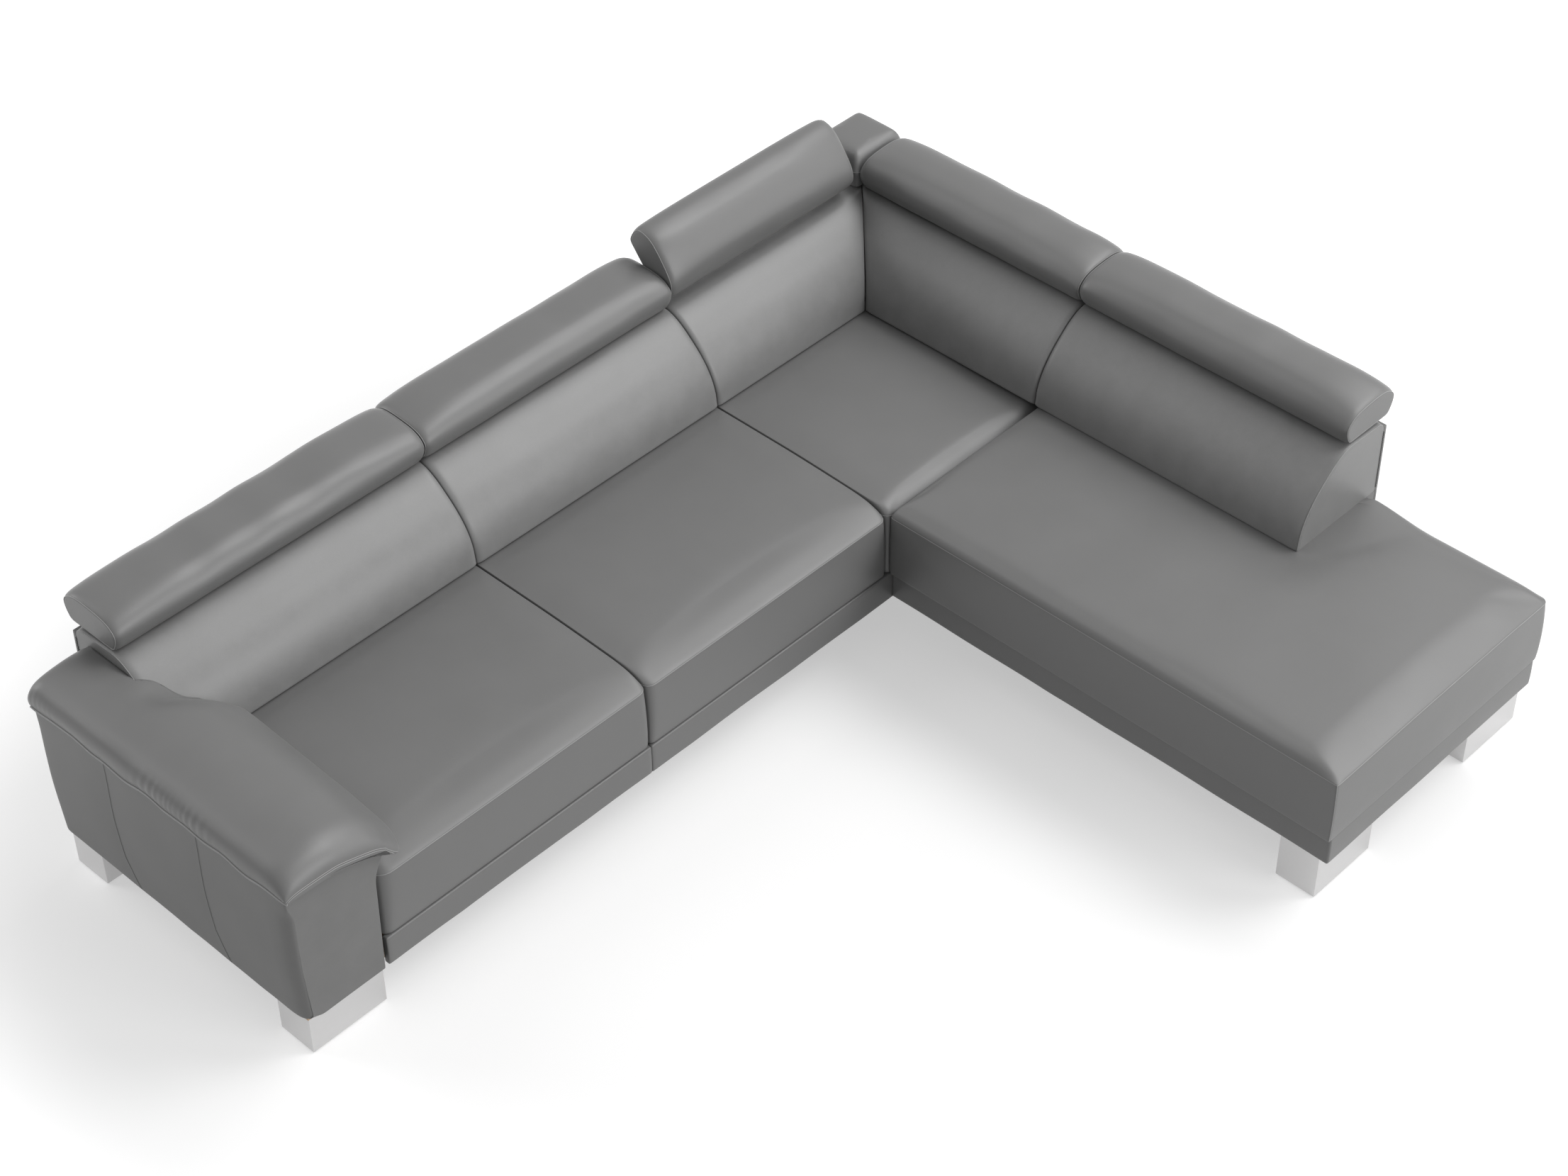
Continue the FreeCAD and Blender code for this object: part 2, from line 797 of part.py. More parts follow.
def headrest(number, frame, width, raised=False):
    """One headrest: cover, foam, board and the moving halves of its two hinges."""
    name = "headrest_%d" % number
    at = (0, -S.hinge_depth, S.hinge_height)
    tilt = S.headrest_tilt if raised else None
    stations = drawn_stations(width, S.seat_roll, headrest_section, S.draw_in)
    form = cushion(name + "_form", frame, "YZ", stations, at, tilt)
    inner = width - S.headrest_wrap * 2
    wall = S.headrest_wrap
    foam = prism(name + "_foam", frame, "YZ", headrest_core_outline(), wall, inner, at, tilt)
    plank = prism(name + "_plank", frame, "YZ", headrest_board_outline(), wall, inner, at, tilt)
    hinge_pieces = []
    pockets = []
    flanges = []
    for index, x in enumerate(strut_positions(Size.of(0), width)):
        hinge, tabs, pocket = headrest_hinge("%s_hinge_%d" % (name, index), frame, at, tilt, x)
        hinge_pieces.append(hinge)
        flanges += tabs
        pockets.append(pocket)
    node(name + "_core", cut(name + "_core", foam, *pockets, *flanges))
    node(name + "_board", cut(name + "_board", plank, *pockets))
    node(name + "_cover", cut(name + "_cover", form, foam, plank, *pockets))
    node(name + "_hinge", group(name + "_hinge", hinge_pieces))


def eye_point(radius, angle):
    return radius * cosine(angle), radius * sine(angle)


def bracket_outline():
    """A fixed bracket: a plate on the strut, a slanting arm, and an eye with ratchet teeth."""
    half = S.arm_half_width
    root = S.eye_root
    tip = S.eye_root + S.tooth_height
    slope = 29
    along = (math.cos(math.radians(slope)), -math.sin(math.radians(slope)))
    front = S.hinge_depth - STRUT_FRONT
    rear = front + S.bracket_width
    lower = (front + half * -along[1]) * (along[1] / along[0]) - half * along[0]
    upper = (rear - half * -along[1]) * (along[1] / along[0]) + half * along[0]
    first = 161
    pitch = S.headrest_tilt / S.tooth_steps
    last = first - pitch * (S.tooth_steps + 1)
    corners = [
        line(front, -S.bracket_drop),
        line(front, lower),
        line(*eye_point(root, -71)),
        line(*eye_point(root, -100)),
        line(*eye_point(root, -130)),
        line(*eye_point(root, -159)),
    ]
    for number in range(int(S.tooth_steps.value) + 1):
        angle = first - pitch * number
        corners.append(line(*eye_point(root, angle)))
        corners.append(line(*eye_point(tip, angle - pitch * 0.15)))
    for number in range(4):
        corners.append(line(*eye_point(root, last - (last - 13) * (number / 3))))
    corners.append(line(rear, upper))
    corners.append(line(rear, -S.bracket_drop))
    return corners


def bracket(name, frame, x):
    at = (0, -S.hinge_depth, S.hinge_height)
    hole = [(0, 0, S.pin_radius + S.pin_clearance)]
    return prism(name, frame, "YZ", bracket_outline(), x, S.plate_thickness, at, None, hole)


# Frames behind the backs


def back_frame(name, frame, start, end, struts):
    """Struts that carry the headrest brackets, with a top rail and a lower rail before them."""
    pieces = []
    for index, x in enumerate(struts):
        pieces.append(
            block(
                "%s_strut_%d" % (name, index), frame, x - S.board, -STRUT_FRONT, S.rail_bottom,
                S.board, S.strut_depth, S.strut_height - S.rail_bottom,
            )
        )
    for label, bottom in (("top", S.strut_height - S.rail_height), ("low", BACK_BOTTOM + S.bottom_cloth)):
        pieces.append(
            block(
                "%s_%s_rail" % (name, label), frame, start, -FRAME_FRONT, bottom,
                end - start, S.board, S.rail_height,
            )
        )
    return pieces


# Armrest


def arm_outline(shell):
    """Front view of the arm body, clockwise from the outer foot; a shell insets it."""
    inner = S.arm_width
    return [
        arc(5 + shell, S.base_height, 3),
        line(shell, S.arm_outer_height - 90),
        line(shell - 6, S.arm_outer_height - 8 - shell),
        line(inner + S.arm_flare - 2 - shell, S.arm_inner_height - shell),
        arc(inner + S.arm_flare - shell, S.arm_inner_height - 18 - shell, -6),
        line(inner + 1 - shell, S.arm_neck_height - shell),
        line(inner - 2 - shell, S.base_height),
    ]


def arm_hollow_outline(shell):
    inner = S.arm_width
    return [
        line(5 + shell, S.base_height - 1),
        line(shell + 1, S.arm_outer_height - 30 - shell),
        line(inner - shell - 3, S.arm_inner_height - 14 - shell),
        line(inner - 3 - shell, S.base_height - 1),
    ]


def pad_section(top, droop):
    """Across the arm pad: outer roll, crowned top, and the inner tip that droops over the seat."""
    tip = S.arm_width + S.arm_gap + S.pad_droop_reach + 18
    base = S.arm_outer_height - 8
    crest = base + S.pad_thickness + 4 - top
    return [
        line(-7, base + 0.6),
        line(-16, base + 22),
        line(-12, base + 46 - top * 0.8),
        line(12, crest),
        line(110, crest + 5),
        line(S.arm_width - 23, crest - 8 - droop * 0.4),
        line(S.arm_width + 32, crest - 42 - droop * 0.6),
        line(tip, S.arm_inner_height + 33 - droop),
        line(tip - 18, S.arm_inner_height - 7 - droop * 0.42),
        line(S.arm_width + S.arm_flare + 1, S.arm_inner_height + 1),
    ]


def armrest():
    frame = Frame(X_ARM_OUT, Y_IN - S.arm_lead + ARM_LENGTH)
    shell = S.arm_shell
    body = prism("arm_form", frame, "XZ", arm_outline(Size.of(0)), 0, ARM_LENGTH)
    hollow = prism(
        "arm_hollow", frame, "XZ", arm_hollow_outline(shell), shell, ARM_LENGTH - shell * 2
    )
    back_frame_at = Frame(X_SEATS - S.arm_lap, Y_REAR)
    grown = S.joint_gap
    cutter_outline = [
        line(-S.back_foot_depth - 3.5, BACK_BOTTOM - S.rest_gap),
        line(-S.back_foot_depth + 7, (BACK_BOTTOM + S.belly_height) / 2 + 4),
        line(-S.belly_depth - 4, S.belly_height + 3),
        line(-S.shoulder_depth - 2, S.shoulder_height + 6),
        line(-(S.shoulder_depth + S.lip_depth) / 2 - 3.5, S.back_height - 5),
        line(-S.lip_depth, S.back_height + 4),
        line(20, S.back_height + 4),
        line(20, BACK_BOTTOM - S.rest_gap),
    ]
    clear = prism("arm_back_space", back_frame_at, "YZ", cutter_outline, -grown, S.seat_width)
    clear_again = prism("pad_back_space", back_frame_at, "YZ", cutter_outline, -grown, S.seat_width)
    boards = []
    for index, start in enumerate((shell, ARM_LENGTH - shell - S.board)):
        outline = [(u, v, b) for u, v, b in arm_hollow_outline(shell)]
        outline[0] = line(5 + shell, S.rail_bottom)
        outline[-1] = line(S.arm_width - 3 - shell, S.rail_bottom)
        boards.append(prism("arm_board_%d" % index, frame, "XZ", outline, start, S.board))
    rail_length = ARM_LENGTH - shell * 2 - S.board * 2
    rail_front = shell + S.board - ARM_LENGTH
    for label, x, z in (
        ("outer_low", shell + 6, S.rail_bottom),
        ("inner_low", S.arm_width - shell - 4 - S.board, S.rail_bottom),
        ("outer_top", shell + 6, S.arm_outer_height - 50 - shell - S.rail_height),
        ("inner_top", S.arm_width - shell - 4 - S.board, S.seat_height - S.rail_height),
    ):
        boards.append(
            block("arm_rail_" + label, frame, x, rail_front, z, S.board, rail_length, S.rail_height)
        )
    rear_board = cut("arm_rear_board", boards[0], prism(
        "arm_board_space", back_frame_at, "YZ", cutter_outline, -S.arm_shell, S.seat_width
    ))
    boards[0] = rear_board
    (x_front, y_front), (x_rear, y_rear) = foot_places()["arm_feet"]
    plate_x = shell + 6 + S.board
    plate_length = S.arm_width - shell * 2 - 10 - S.board * 2
    front_start = shell + S.board - ARM_LENGTH
    front_depth = S.foot_inset + S.foot_depth - shell - S.board
    boards.append(
        foot_plate("arm_front_plate", frame, plate_x, front_start, plate_length, front_depth, x_front, bolt_place(y_front))
    )
    rear_end = frame.y - shell - S.board
    rear_start = y_rear - S.foot_depth / 2
    boards.append(
        foot_plate(
            "arm_rear_plate", Frame(frame.x, rear_start), plate_x, 0, plate_length,
            rear_end - rear_start, x_rear, bolt_place(y_rear),
        )
    )
    node("arm_frame", group("arm_frame", boards))
    hollow_open = cut("arm_hollow_open", hollow, prism(
        "arm_wall_space", back_frame_at, "YZ", cutter_outline, -S.arm_shell, S.seat_width
    ))
    low_hollow = block(
        "arm_low_hollow", frame, shell + 5, shell - ARM_LENGTH, S.base_height - 1,
        S.arm_width - shell * 2 - 8, ARM_LENGTH - shell * 2, BACK_BOTTOM - S.base_height - 14,
    )
    node("arm_cover", cut("arm_cover", body, clear, hollow_open, low_hollow))

    rear = ARM_LENGTH + S.pad_front_lead
    stations = [
        (Size.of(-2), pad_section(Size.of(8), Size.of(0))),
        (Size.of(20), pad_section(Size.of(0), Size.of(0))),
        (ARM_LENGTH * 0.45, pad_section(Size.of(0), Size.of(0))),
        (ARM_LENGTH * 0.8, pad_section(Size.of(6), Size.of(18))),
        (rear - 34, pad_section(Size.of(14), Size.of(36))),
        (rear, pad_section(Size.of(32), Size.of(45))),
    ]
    pad = cushion("arm_pad_form", frame, "XZ", stations)
    low = S.arm_outer_height - 4
    core_outline_points = [
        line(4, low + 14),
        line(6, low + S.pad_thickness - 22),
        line(S.arm_width - 40, low + S.pad_thickness - 30),
        line(S.arm_width + 30, S.arm_inner_height + 22),
        line(S.arm_width + 26, S.arm_inner_height + 12),
    ]
    core = prism("arm_pad_foam", frame, "XZ", core_outline_points, S.wrap, ARM_LENGTH - S.wrap * 3)
    foam_space = prism(
        "pad_foam_space", back_frame_at, "YZ", cutter_outline, -S.side_wrap - S.joint_gap, S.seat_width,
        at=(0, -S.side_wrap, 0),
    )
    core = node("arm_pad_core", cut("arm_pad_core", core, foam_space))
    node("arm_pad_cover", cut("arm_pad_cover", pad, clear_again, core))


# Corner cap


def corner_cap():
    frame = Frame(X_RIGHT - S.cap_length, Y_REAR)
    rear = S.cap_overhang
    front = S.cap_depth

    def section(draw, fullness):
        top = S.cap_height + 8 * fullness - draw * 0.6
        face = draw * 0.4 - front
        return [
            line(face, SOLE),
            line(face, top - S.nose_round),
            line(face + S.nose_round * 0.3, top - S.nose_round * 0.3),
            line(face + S.nose_round, top),
            line(rear - S.nose_round, top),
            line(rear - S.nose_round * 0.3, top - S.nose_round * 0.3),
            line(rear - draw * 0.3, top - S.nose_round),
            line(rear - 12, SOLE),
        ]

    stations = drawn_stations(S.cap_length + S.cap_overhang, S.seat_roll, section, S.draw_in)
    form = cushion("corner_cap_form", frame, "YZ", stations)
    side = S.cap_length - S.side_wrap * 2 - S.rear_panel
    depth = S.cap_depth - S.side_wrap * 2 - S.rear_panel
    core = block(
        "corner_cap_core", frame, S.side_wrap + 4, -S.cap_depth + S.side_wrap + 4, S.strut_height,
        side, depth, S.cap_height - S.strut_height - S.headrest_wrap,
    )
    node("corner_cap_core", core)
    node("corner_cap_cover", cut("corner_cap_cover", form, core))


# Base


def base_panel(name, frame, length, inset):
    """An upholstered front board with a rolled lower edge, at an inset behind the seat front."""
    low = S.base_height
    high = S.seat_bottom - S.rest_gap
    roll = S.panel_roll
    outline = [
        line(inset, low + roll),
        line(inset, high),
        line(inset + S.panel_thickness, high),
        line(inset + S.panel_thickness, low),
        arc(inset + roll, low, roll * 0.29),
    ]
    return prism(name, frame, "YZ", outline, 2, length)


def base_panels():
    run = Frame(X_SEATS, Y_IN)
    length = S.seat_width - 4
    pieces = []
    for index in range(2):
        frame = run.moved(S.seat_width * index, 0)
        pieces.append(base_panel("run_front_panel_%d" % index, frame, length, S.panel_set_in))
    node("run_front_panels", group("run_front_panels", pieces))
    side = Frame(X_IN, Y_IN, turned=True)
    inner = base_panel("chaise_inner_panel", side, S.chaise_length - S.panel_set_in - 2, S.chaise_panel_set_in + 2)
    node("chaise_inner_panel", inner)
    front = Frame(X_IN + S.chaise_panel_set_in + 2 + S.panel_thickness, Y_CHAISE)
    right = X_IN + CHAISE_WIDTH - S.panel_set_in - 2
    front_length = right - front.x - 2
    node("chaise_front_panel", base_panel("chaise_front_panel", front, front_length, S.panel_set_in))
    outer_start = Y_CHAISE + S.panel_set_in + S.panel_thickness
    outer_length = Y_IN - S.end_back_width - outer_start - 2
    outer = block(
        "chaise_outer_panel", Frame(right, outer_start), -S.panel_thickness, 1, S.base_height,
        S.panel_thickness, outer_length, S.seat_bottom - S.rest_gap - S.base_height,
    )
    node("chaise_outer_panel", outer)


def rail(name, frame, x, y, length, depth):
    return block(name, frame, x, y, S.rail_bottom, length, depth, RAIL_TOP - S.rail_bottom)


def base_frames():
    run = Frame(X_SEATS, Y_IN)
    front = S.panel_set_in + S.panel_thickness
    span = S.seat_width * 2 - 4
    rear = S.run_depth - STRUT_FRONT - S.board
    depth = rear - front - S.board
    pieces = [
        rail("run_front_rail", run, 2, front, span, S.board),
        rail("run_rear_rail", run, 2, rear, span, S.board),
        rail("run_left_rail", run, 2, front + S.board, S.board, depth),
        rail("run_middle_rail", run, S.seat_width - S.board / 2, front + S.board, S.board, depth),
    ]
    end_rail = rail("run_right_rail", run, S.seat_width * 2 - 2 - S.board, front + S.board, S.board, depth)
    pieces.append(cut("run_right_rail_bored", end_rail, connector_holes("run_rail_hole")))
    node("run_frame", group("run_frame", pieces))

    left = S.chaise_panel_set_in + 2 + S.panel_thickness
    right = CHAISE_WIDTH - S.panel_set_in - 2 - S.panel_thickness
    beside = S.side_depth - STRUT_FRONT - S.board
    nose = -S.chaise_length + S.panel_set_in + S.panel_thickness
    tail = S.run_depth - STRUT_FRONT - S.board
    step = -S.end_back_width
    pieces = [
        rail("chaise_front_rail", CORNER, left, nose, right - left, S.board),
        rail("chaise_left_rail", CORNER, left, nose + S.board, S.board, -nose - S.board),
        rail("chaise_right_rail", CORNER, right - S.board, nose + S.board, S.board, step - nose - S.board * 2),
        rail("chaise_step_rail", CORNER, left + S.board, step - S.board, right - left - S.board, S.board),
        rail("side_rail", CORNER, beside, step, S.board, tail - step),
        rail("corner_rear_rail", CORNER, 2, tail, S.side_depth - STRUT_FRONT - 2, S.board),
    ]
    link = rail("corner_left_rail", CORNER, 2, S.board, S.board, tail - S.board)
    pieces.append(cut("corner_left_rail_bored", link, connector_holes("chaise_rail_hole")))
    pieces.append(rail("corner_front_rail", CORNER, 2, 0, beside - 2, S.board))
    places = foot_places()
    (x_inner, y_front), (x_outer, y_outer) = places["chaise_feet"]
    half = S.foot_length / 2
    front_depth = S.foot_inset + S.foot_depth - S.panel_set_in - S.panel_thickness - S.board
    inner_start = X_IN + left + S.board
    pieces.append(
        foot_plate(
            "chaise_inner_plate", Frame(inner_start, Y_IN + nose + S.board), 0, 0,
            x_inner + half - inner_start, front_depth, x_inner, bolt_place(y_front),
        )
    )
    pieces.append(
        foot_plate(
            "chaise_outer_plate", Frame(x_outer - half, Y_IN + nose + S.board), 0, 0,
            X_IN + right - S.board - x_outer + half, front_depth, x_outer, bolt_place(y_outer),
        )
    )
    x_corner, y_corner = places["corner_foot"][0]
    corner_start = y_corner - S.foot_depth / 2
    pieces.append(
        foot_plate(
            "corner_plate", Frame(x_corner - half, corner_start), 0, 0, X_IN + beside - x_corner + half,
            Y_IN + tail - corner_start, x_corner, bolt_place(y_corner),
        )
    )
    node("chaise_frame", group("chaise_frame", pieces))


def connector_places():
    """Distances behind the seat front at which bolts join the two modules."""
    return [S.run_depth * 0.25, S.run_depth * 0.7]


def connector_holes(name):
    reach = S.board * 3 - 6
    radius = S.bolt_radius + S.hole_clearance
    holes = [sideways_rod("%s_%d" % (name, i), y, radius, -reach, reach * 2)
             for i, y in enumerate(connector_places())]
    return joined(name + "s", *holes)


def sideways_rod(name, y, radius, start, length):
    """A rod along X across the joint of the two modules."""
    rod = DOC.addObject("Part::Cylinder", name)
    for attribute, value in (("Radius", radius), ("Height", length)):
        value = Size.of(value)
        setattr(rod, attribute, value.value)
        rod.setExpression(attribute, value.text)
    height = (S.rail_bottom + RAIL_TOP) / 2
    x = X_IN + start
    y = Y_IN + y
    rod.Placement = Placement(Vector(x.value, y.value, height.value), Rotation(Vector(0, 1, 0), 90))
    rod.setExpression("Placement.Base.x", x.text)
    rod.setExpression("Placement.Base.y", y.text)
    rod.setExpression("Placement.Base.z", height.text)
    return rod


def module_connectors():
    """Bolts with hexagon heads and nuts that hold the two modules together."""
    reach = S.board + 2
    half = S.bolt_head_radius
    height = (S.rail_bottom + RAIL_TOP) / 2
    pieces = []
    for i, y in enumerate(connector_places()):
        shank = sideways_rod("connector_shank_%d" % i, y, S.bolt_radius, -reach, reach * 2)
        head = prism(
            "connector_head_%d" % i, CORNER, "YZ", hexagon(half), -reach - S.bolt_head_height,
            S.bolt_head_height, at=(0, y, height),
        )
        nut = prism(
            "connector_nut_%d" % i, CORNER, "YZ", hexagon(half), reach, S.bolt_head_height,
            at=(0, y, height),
        )
        pieces.append(joined("connector_%d" % i, shank, head, nut))
    node("module_connectors", group("module_connectors", pieces))


def webbing():
    """Elastic straps on the rails under each seat."""
    pieces = []
    run = Frame(X_SEATS, Y_IN)
    front = S.panel_set_in + S.panel_thickness
    depth = S.run_depth - STRUT_FRONT - front
    straps = 5
    for seat in range(2):
        pitch = (S.seat_width - 60) / straps
        for i in range(straps):
            x = S.seat_width * seat + 30 + pitch * (i + 0.5) - S.webbing_width / 2
            pieces.append(
                block("run_strap_%d_%d" % (seat, i), run, x, front, RAIL_TOP, S.webbing_width, depth, S.webbing_thickness)
            )
    left = S.chaise_panel_set_in + 2 + S.panel_thickness
    right = CHAISE_WIDTH - S.panel_set_in - 2 - S.panel_thickness
    beside = S.side_depth - STRUT_FRONT
    length = S.run_depth + S.chaise_length - STRUT_FRONT - S.board * 3
    straps = 14
    pitch = length / straps
    for i in range(straps):
        y = S.board - S.chaise_length + S.panel_thickness + pitch * (i + 0.5)
        beside_back = y.value > -S.end_back_width.value - S.webbing_width.value
        start = left if y.value < 0 else Size.of(2)
        end = beside if beside_back else right
        pieces.append(
            block("side_strap_%d" % i, CORNER, start, y - S.webbing_width / 2, RAIL_TOP, end - start, S.webbing_width, S.webbing_thickness)
        )
    node("seat_webbing", group("seat_webbing", pieces))


def rear_panels():
    """Flat upholstered panels that close the backs, each with a return round its open end."""
    low = S.base_height + 2
    high = S.back_height - 8 - S.back_roll - 4
    lap = BACK_BOTTOM
    run = Frame(X_SEATS, Y_REAR)
    length = S.seat_width * 2 + S.side_depth
    lower = block("run_rear_low", run, 0, -S.rear_panel, low, length, S.rear_panel, high - low)
    upper = block("run_rear_high", run, -S.arm_lap, -S.rear_panel, lap, length, S.rear_panel, high - lap)
    wing = S.arm_set_back
    turn = block("run_rear_return", run, 0, -wing, low, 2, wing, lap - low)
    panel = joined("run_rear_panel_form", lower, upper, turn)
    node("run_rear_panel", panel)
    side = Frame(X_RIGHT, Y_REAR, turned=True)
    reach = S.run_depth + S.end_back_width
    flat = block("side_rear_flat", side, S.rear_panel, -S.rear_panel, low, reach - S.rear_panel, S.rear_panel, high - low)
    wing = S.chaise_step + 14
    turn = block("side_rear_return", side, reach - 2, -wing, low, 2, wing, lap - low)
    node("side_rear_panel", joined("side_rear_panel_form", flat, turn))


def dust_cover():
    low = S.base_height
    sheet = S.rail_bottom - S.base_height
    run = Frame(X_SEATS, Y_IN)
    front = S.panel_set_in + S.panel_thickness
    pieces = [
        block("run_dust_cover", run, 2, front, low, S.seat_width * 2 - 4, S.run_depth - front - STRUT_REAR, sheet),
    ]
    left = S.chaise_panel_set_in + 2 + S.panel_thickness
    right = CHAISE_WIDTH - S.panel_set_in - 2 - S.panel_thickness
    nose = -S.chaise_length + S.panel_set_in + S.panel_thickness
    reach = S.side_depth - STRUT_REAR
    end = -S.end_back_width
    corner = block("corner_cloth", CORNER, 2, 0, low, reach - 2, S.run_depth - STRUT_REAR, sheet)
    front = block("chaise_cloth", CORNER, left, nose, low, right - left, end - nose, sheet)
    places = foot_places()
    half = S.bolt_radius + 1
    holes = {
        name: [
            block("%s_cloth_slit_%d" % (name, i), Frame(0, 0), x - half, bolt_place(y) - half, low - 1, half * 2, half * 2, 4)
            for i, (x, y) in enumerate(places[name])
        ]
        for name in ("corner_foot", "chaise_feet")
    }
    pieces += [
        cut("corner_dust_cover", corner, *holes["corner_foot"]),
        block("side_dust_cover", CORNER, left, end, low, reach - left, -end, sheet),
        cut("chaise_dust_cover", front, *holes["chaise_feet"]),
    ]
    node("dust_cover", group("dust_cover", pieces))


# Feet


def foot_places():
    """Centres of the block feet, all at one inset from the planes they stand behind."""
    half_length = S.foot_length / 2
    half_depth = S.foot_depth / 2
    x_arm = X_ARM_OUT + S.foot_inset + half_length
    y_front = Y_IN - S.arm_lead + S.foot_inset + half_depth
    y_chaise = Y_CHAISE + S.foot_inset + half_depth
    x_inner = X_IN + S.foot_inset + half_length
    return {
        "arm_feet": [(x_arm, y_front), (x_arm, Size.of(0))],
        "corner_foot": [(Size.of(0), Size.of(0))],
        "chaise_feet": [(x_inner, y_chaise), (Size.of(0), y_chaise)],
    }


def bolt_place(y):
    """A foot's bolt stands clear of the rail before or behind the foot."""
    return y - S.bolt_offset if y.value > -1 else y + S.bolt_offset


def foot_plate(name, frame, x, y, length, depth, bolt_x, bolt_y):
    """A board inside the base that a foot is bolted to."""
    plank = block(name + "_plank", frame, x, y, S.rail_bottom, length, depth, S.board)
    hole = upright_rod(
        name + "_hole", Frame(0, 0), bolt_x, bolt_y, S.rail_bottom - 1,
        S.bolt_radius + S.hole_clearance, S.board + 2,
    )
    return cut(name, plank, hole)


def leg_places():
    """Centres of the plain square legs where the modules meet and under the end of the side."""
    inset = S.leg_set_in
    return [
        (X_IN - inset, Y_IN + S.run_depth * 0.3),
        (X_IN - inset, Size.of(0)),
        (X_IN + inset, Y_IN + S.run_depth * 0.3),
        (X_RIGHT - S.chaise_step - inset, Y_IN - S.end_back_width + inset * 2),
    ]


def feet():
    glides = []
    bolts = []
    floor = Frame(0, 0)
    bottom = S.glide_thickness
    height = S.base_height - bottom
    wall = S.foot_wall
    for name, places in foot_places().items():
        blocks = []
        for i, (x, y) in enumerate(places):
            label = "%s_%d" % (name, i)
            x0 = x - S.foot_length / 2
            y0 = y - S.foot_depth / 2
            solid = block(label + "_block", floor, x0, y0, bottom, S.foot_length, S.foot_depth, height)
            hollow = block(
                label + "_hollow", floor, x0 + wall, y0 + wall, bottom + wall,
                S.foot_length - wall * 2, S.foot_depth - wall * 2, height - wall * 2,
            )
            bolt_y = bolt_place(y)
            hole = upright_rod(
                label + "_hole", floor, x, bolt_y, S.base_height - wall * 2,
                S.bolt_radius + S.hole_clearance, wall * 3,
            )
            bolts.append(foot_bolt(label + "_bolt", x, bolt_y))
            blocks.append(cut(label + "_shell", solid, hollow, hole))
            inset = S.glide_inset
            glides.append(
                block(
                    label + "_glide", floor, x0 + inset, y0 + inset, 0,
                    S.foot_length - inset * 2, S.foot_depth - inset * 2, S.glide_thickness,
                )
            )
        node(name, group(name, blocks) if len(blocks) > 1 else blocks[0])
    half = S.leg_width / 2
    legs = [
        block("support_leg_%d" % i, floor, x - half, y - half, 0, S.leg_width, S.leg_width, S.base_height)
        for i, (x, y) in enumerate(leg_places())
    ]
    node("support_legs", group("support_legs", legs))
    node("foot_glides", group("foot_glides", glides))
    return bolts


def foot_bolt(name, x, y):
    """A bolt from inside a foot up into the base: head under the foot's top plate."""
    floor = Frame(0, 0)
    seat = S.base_height - S.foot_wall
    at = (x, y, seat - S.bolt_head_height)
    head = prism(name + "_head", floor, "XY", hexagon(S.bolt_head_radius), 0, S.bolt_head_height, at=at)
    shank = upright_rod(name + "_shank", floor, x, y, seat, S.bolt_radius, S.bolt_length)
    return joined(name, head, shank)


def build():
    run_seat(1)
    run_seat(2)
    corner_seat()
    chaise()

    back_1_width = S.seat_width + S.arm_lap
    headrest_3_width = S.side_depth - S.cap_length - S.cap_gap
    headrest_4_width = S.run_depth - S.cap_depth - S.cap_side_gap
    headrest_4_start = S.cap_depth + S.cap_side_gap
    run_backs = [
        (1, Frame(X_SEATS - S.arm_lap, Y_REAR), back_1_width, back_1_width, Size.of(0)),
        (2, Frame(X_IN - S.seat_width, Y_REAR), S.seat_width, S.seat_width, Size.of(0)),
        (3, Frame(X_IN, Y_REAR), S.side_depth, headrest_3_width, Size.of(0)),
    ]
    side_backs = [
        (4, Frame(X_RIGHT, Y_REAR, turned=True), S.run_depth, headrest_4_width, headrest_4_start),
        (5, Frame(X_RIGHT, Y_IN, turned=True), S.end_back_width, S.end_back_width, Size.of(0)),
    ]
    brackets = []
    cores = []
    frames = {"run_back_frame": [], "side_back_frame": []}
    for name, backs in (("run_back_frame", run_backs), ("side_back_frame", side_backs)):
        for number, frame, width, head_width, head_start in backs:
            struts = strut_positions(head_start, head_width)
            mitred = number in (3, 4)
            cores.append(back(number, frame, width, struts, mitred))
            headrest(number, frame.moved(head_start, 0), head_width, raised=number == 3)
            rail_start = S.side_wrap
            rail_end = width - S.side_wrap
            if number == 3:
                rail_end = width - S.cap_length - S.corner_clear
            if number == 4:
                rail_start = S.cap_depth + S.corner_clear
            frames[name] += back_frame("back_%d_frame" % number, frame, rail_start, rail_end, struts)
            for index, x in enumerate(struts):
                brackets.append(bracket("bracket_%d_%d" % (number, index), frame, x))
    frames["side_back_frame"].append(
        block(
            "corner_post", Frame(X_RIGHT, Y_REAR), -STRUT_FRONT, -STRUT_FRONT, S.rail_bottom,
            S.strut_depth, S.strut_depth, S.strut_height - S.rail_bottom,
        )
    )
    node("back_cores", group("back_cores", cores))
    node("headrest_brackets", group("headrest_brackets", brackets))
    for name, pieces in frames.items():
        node(name, group(name, pieces))
    armrest()
    corner_cap()
    base_panels()
    base_frames()
    module_connectors()
    webbing()
    rear_panels()
    dust_cover()
    bolts = feet()
    node("foot_bolts", group("foot_bolts", bolts))


def failed_objects():
    return [item.Name for item in DOC.Objects if "Invalid" in item.State or "Error" in item.State]


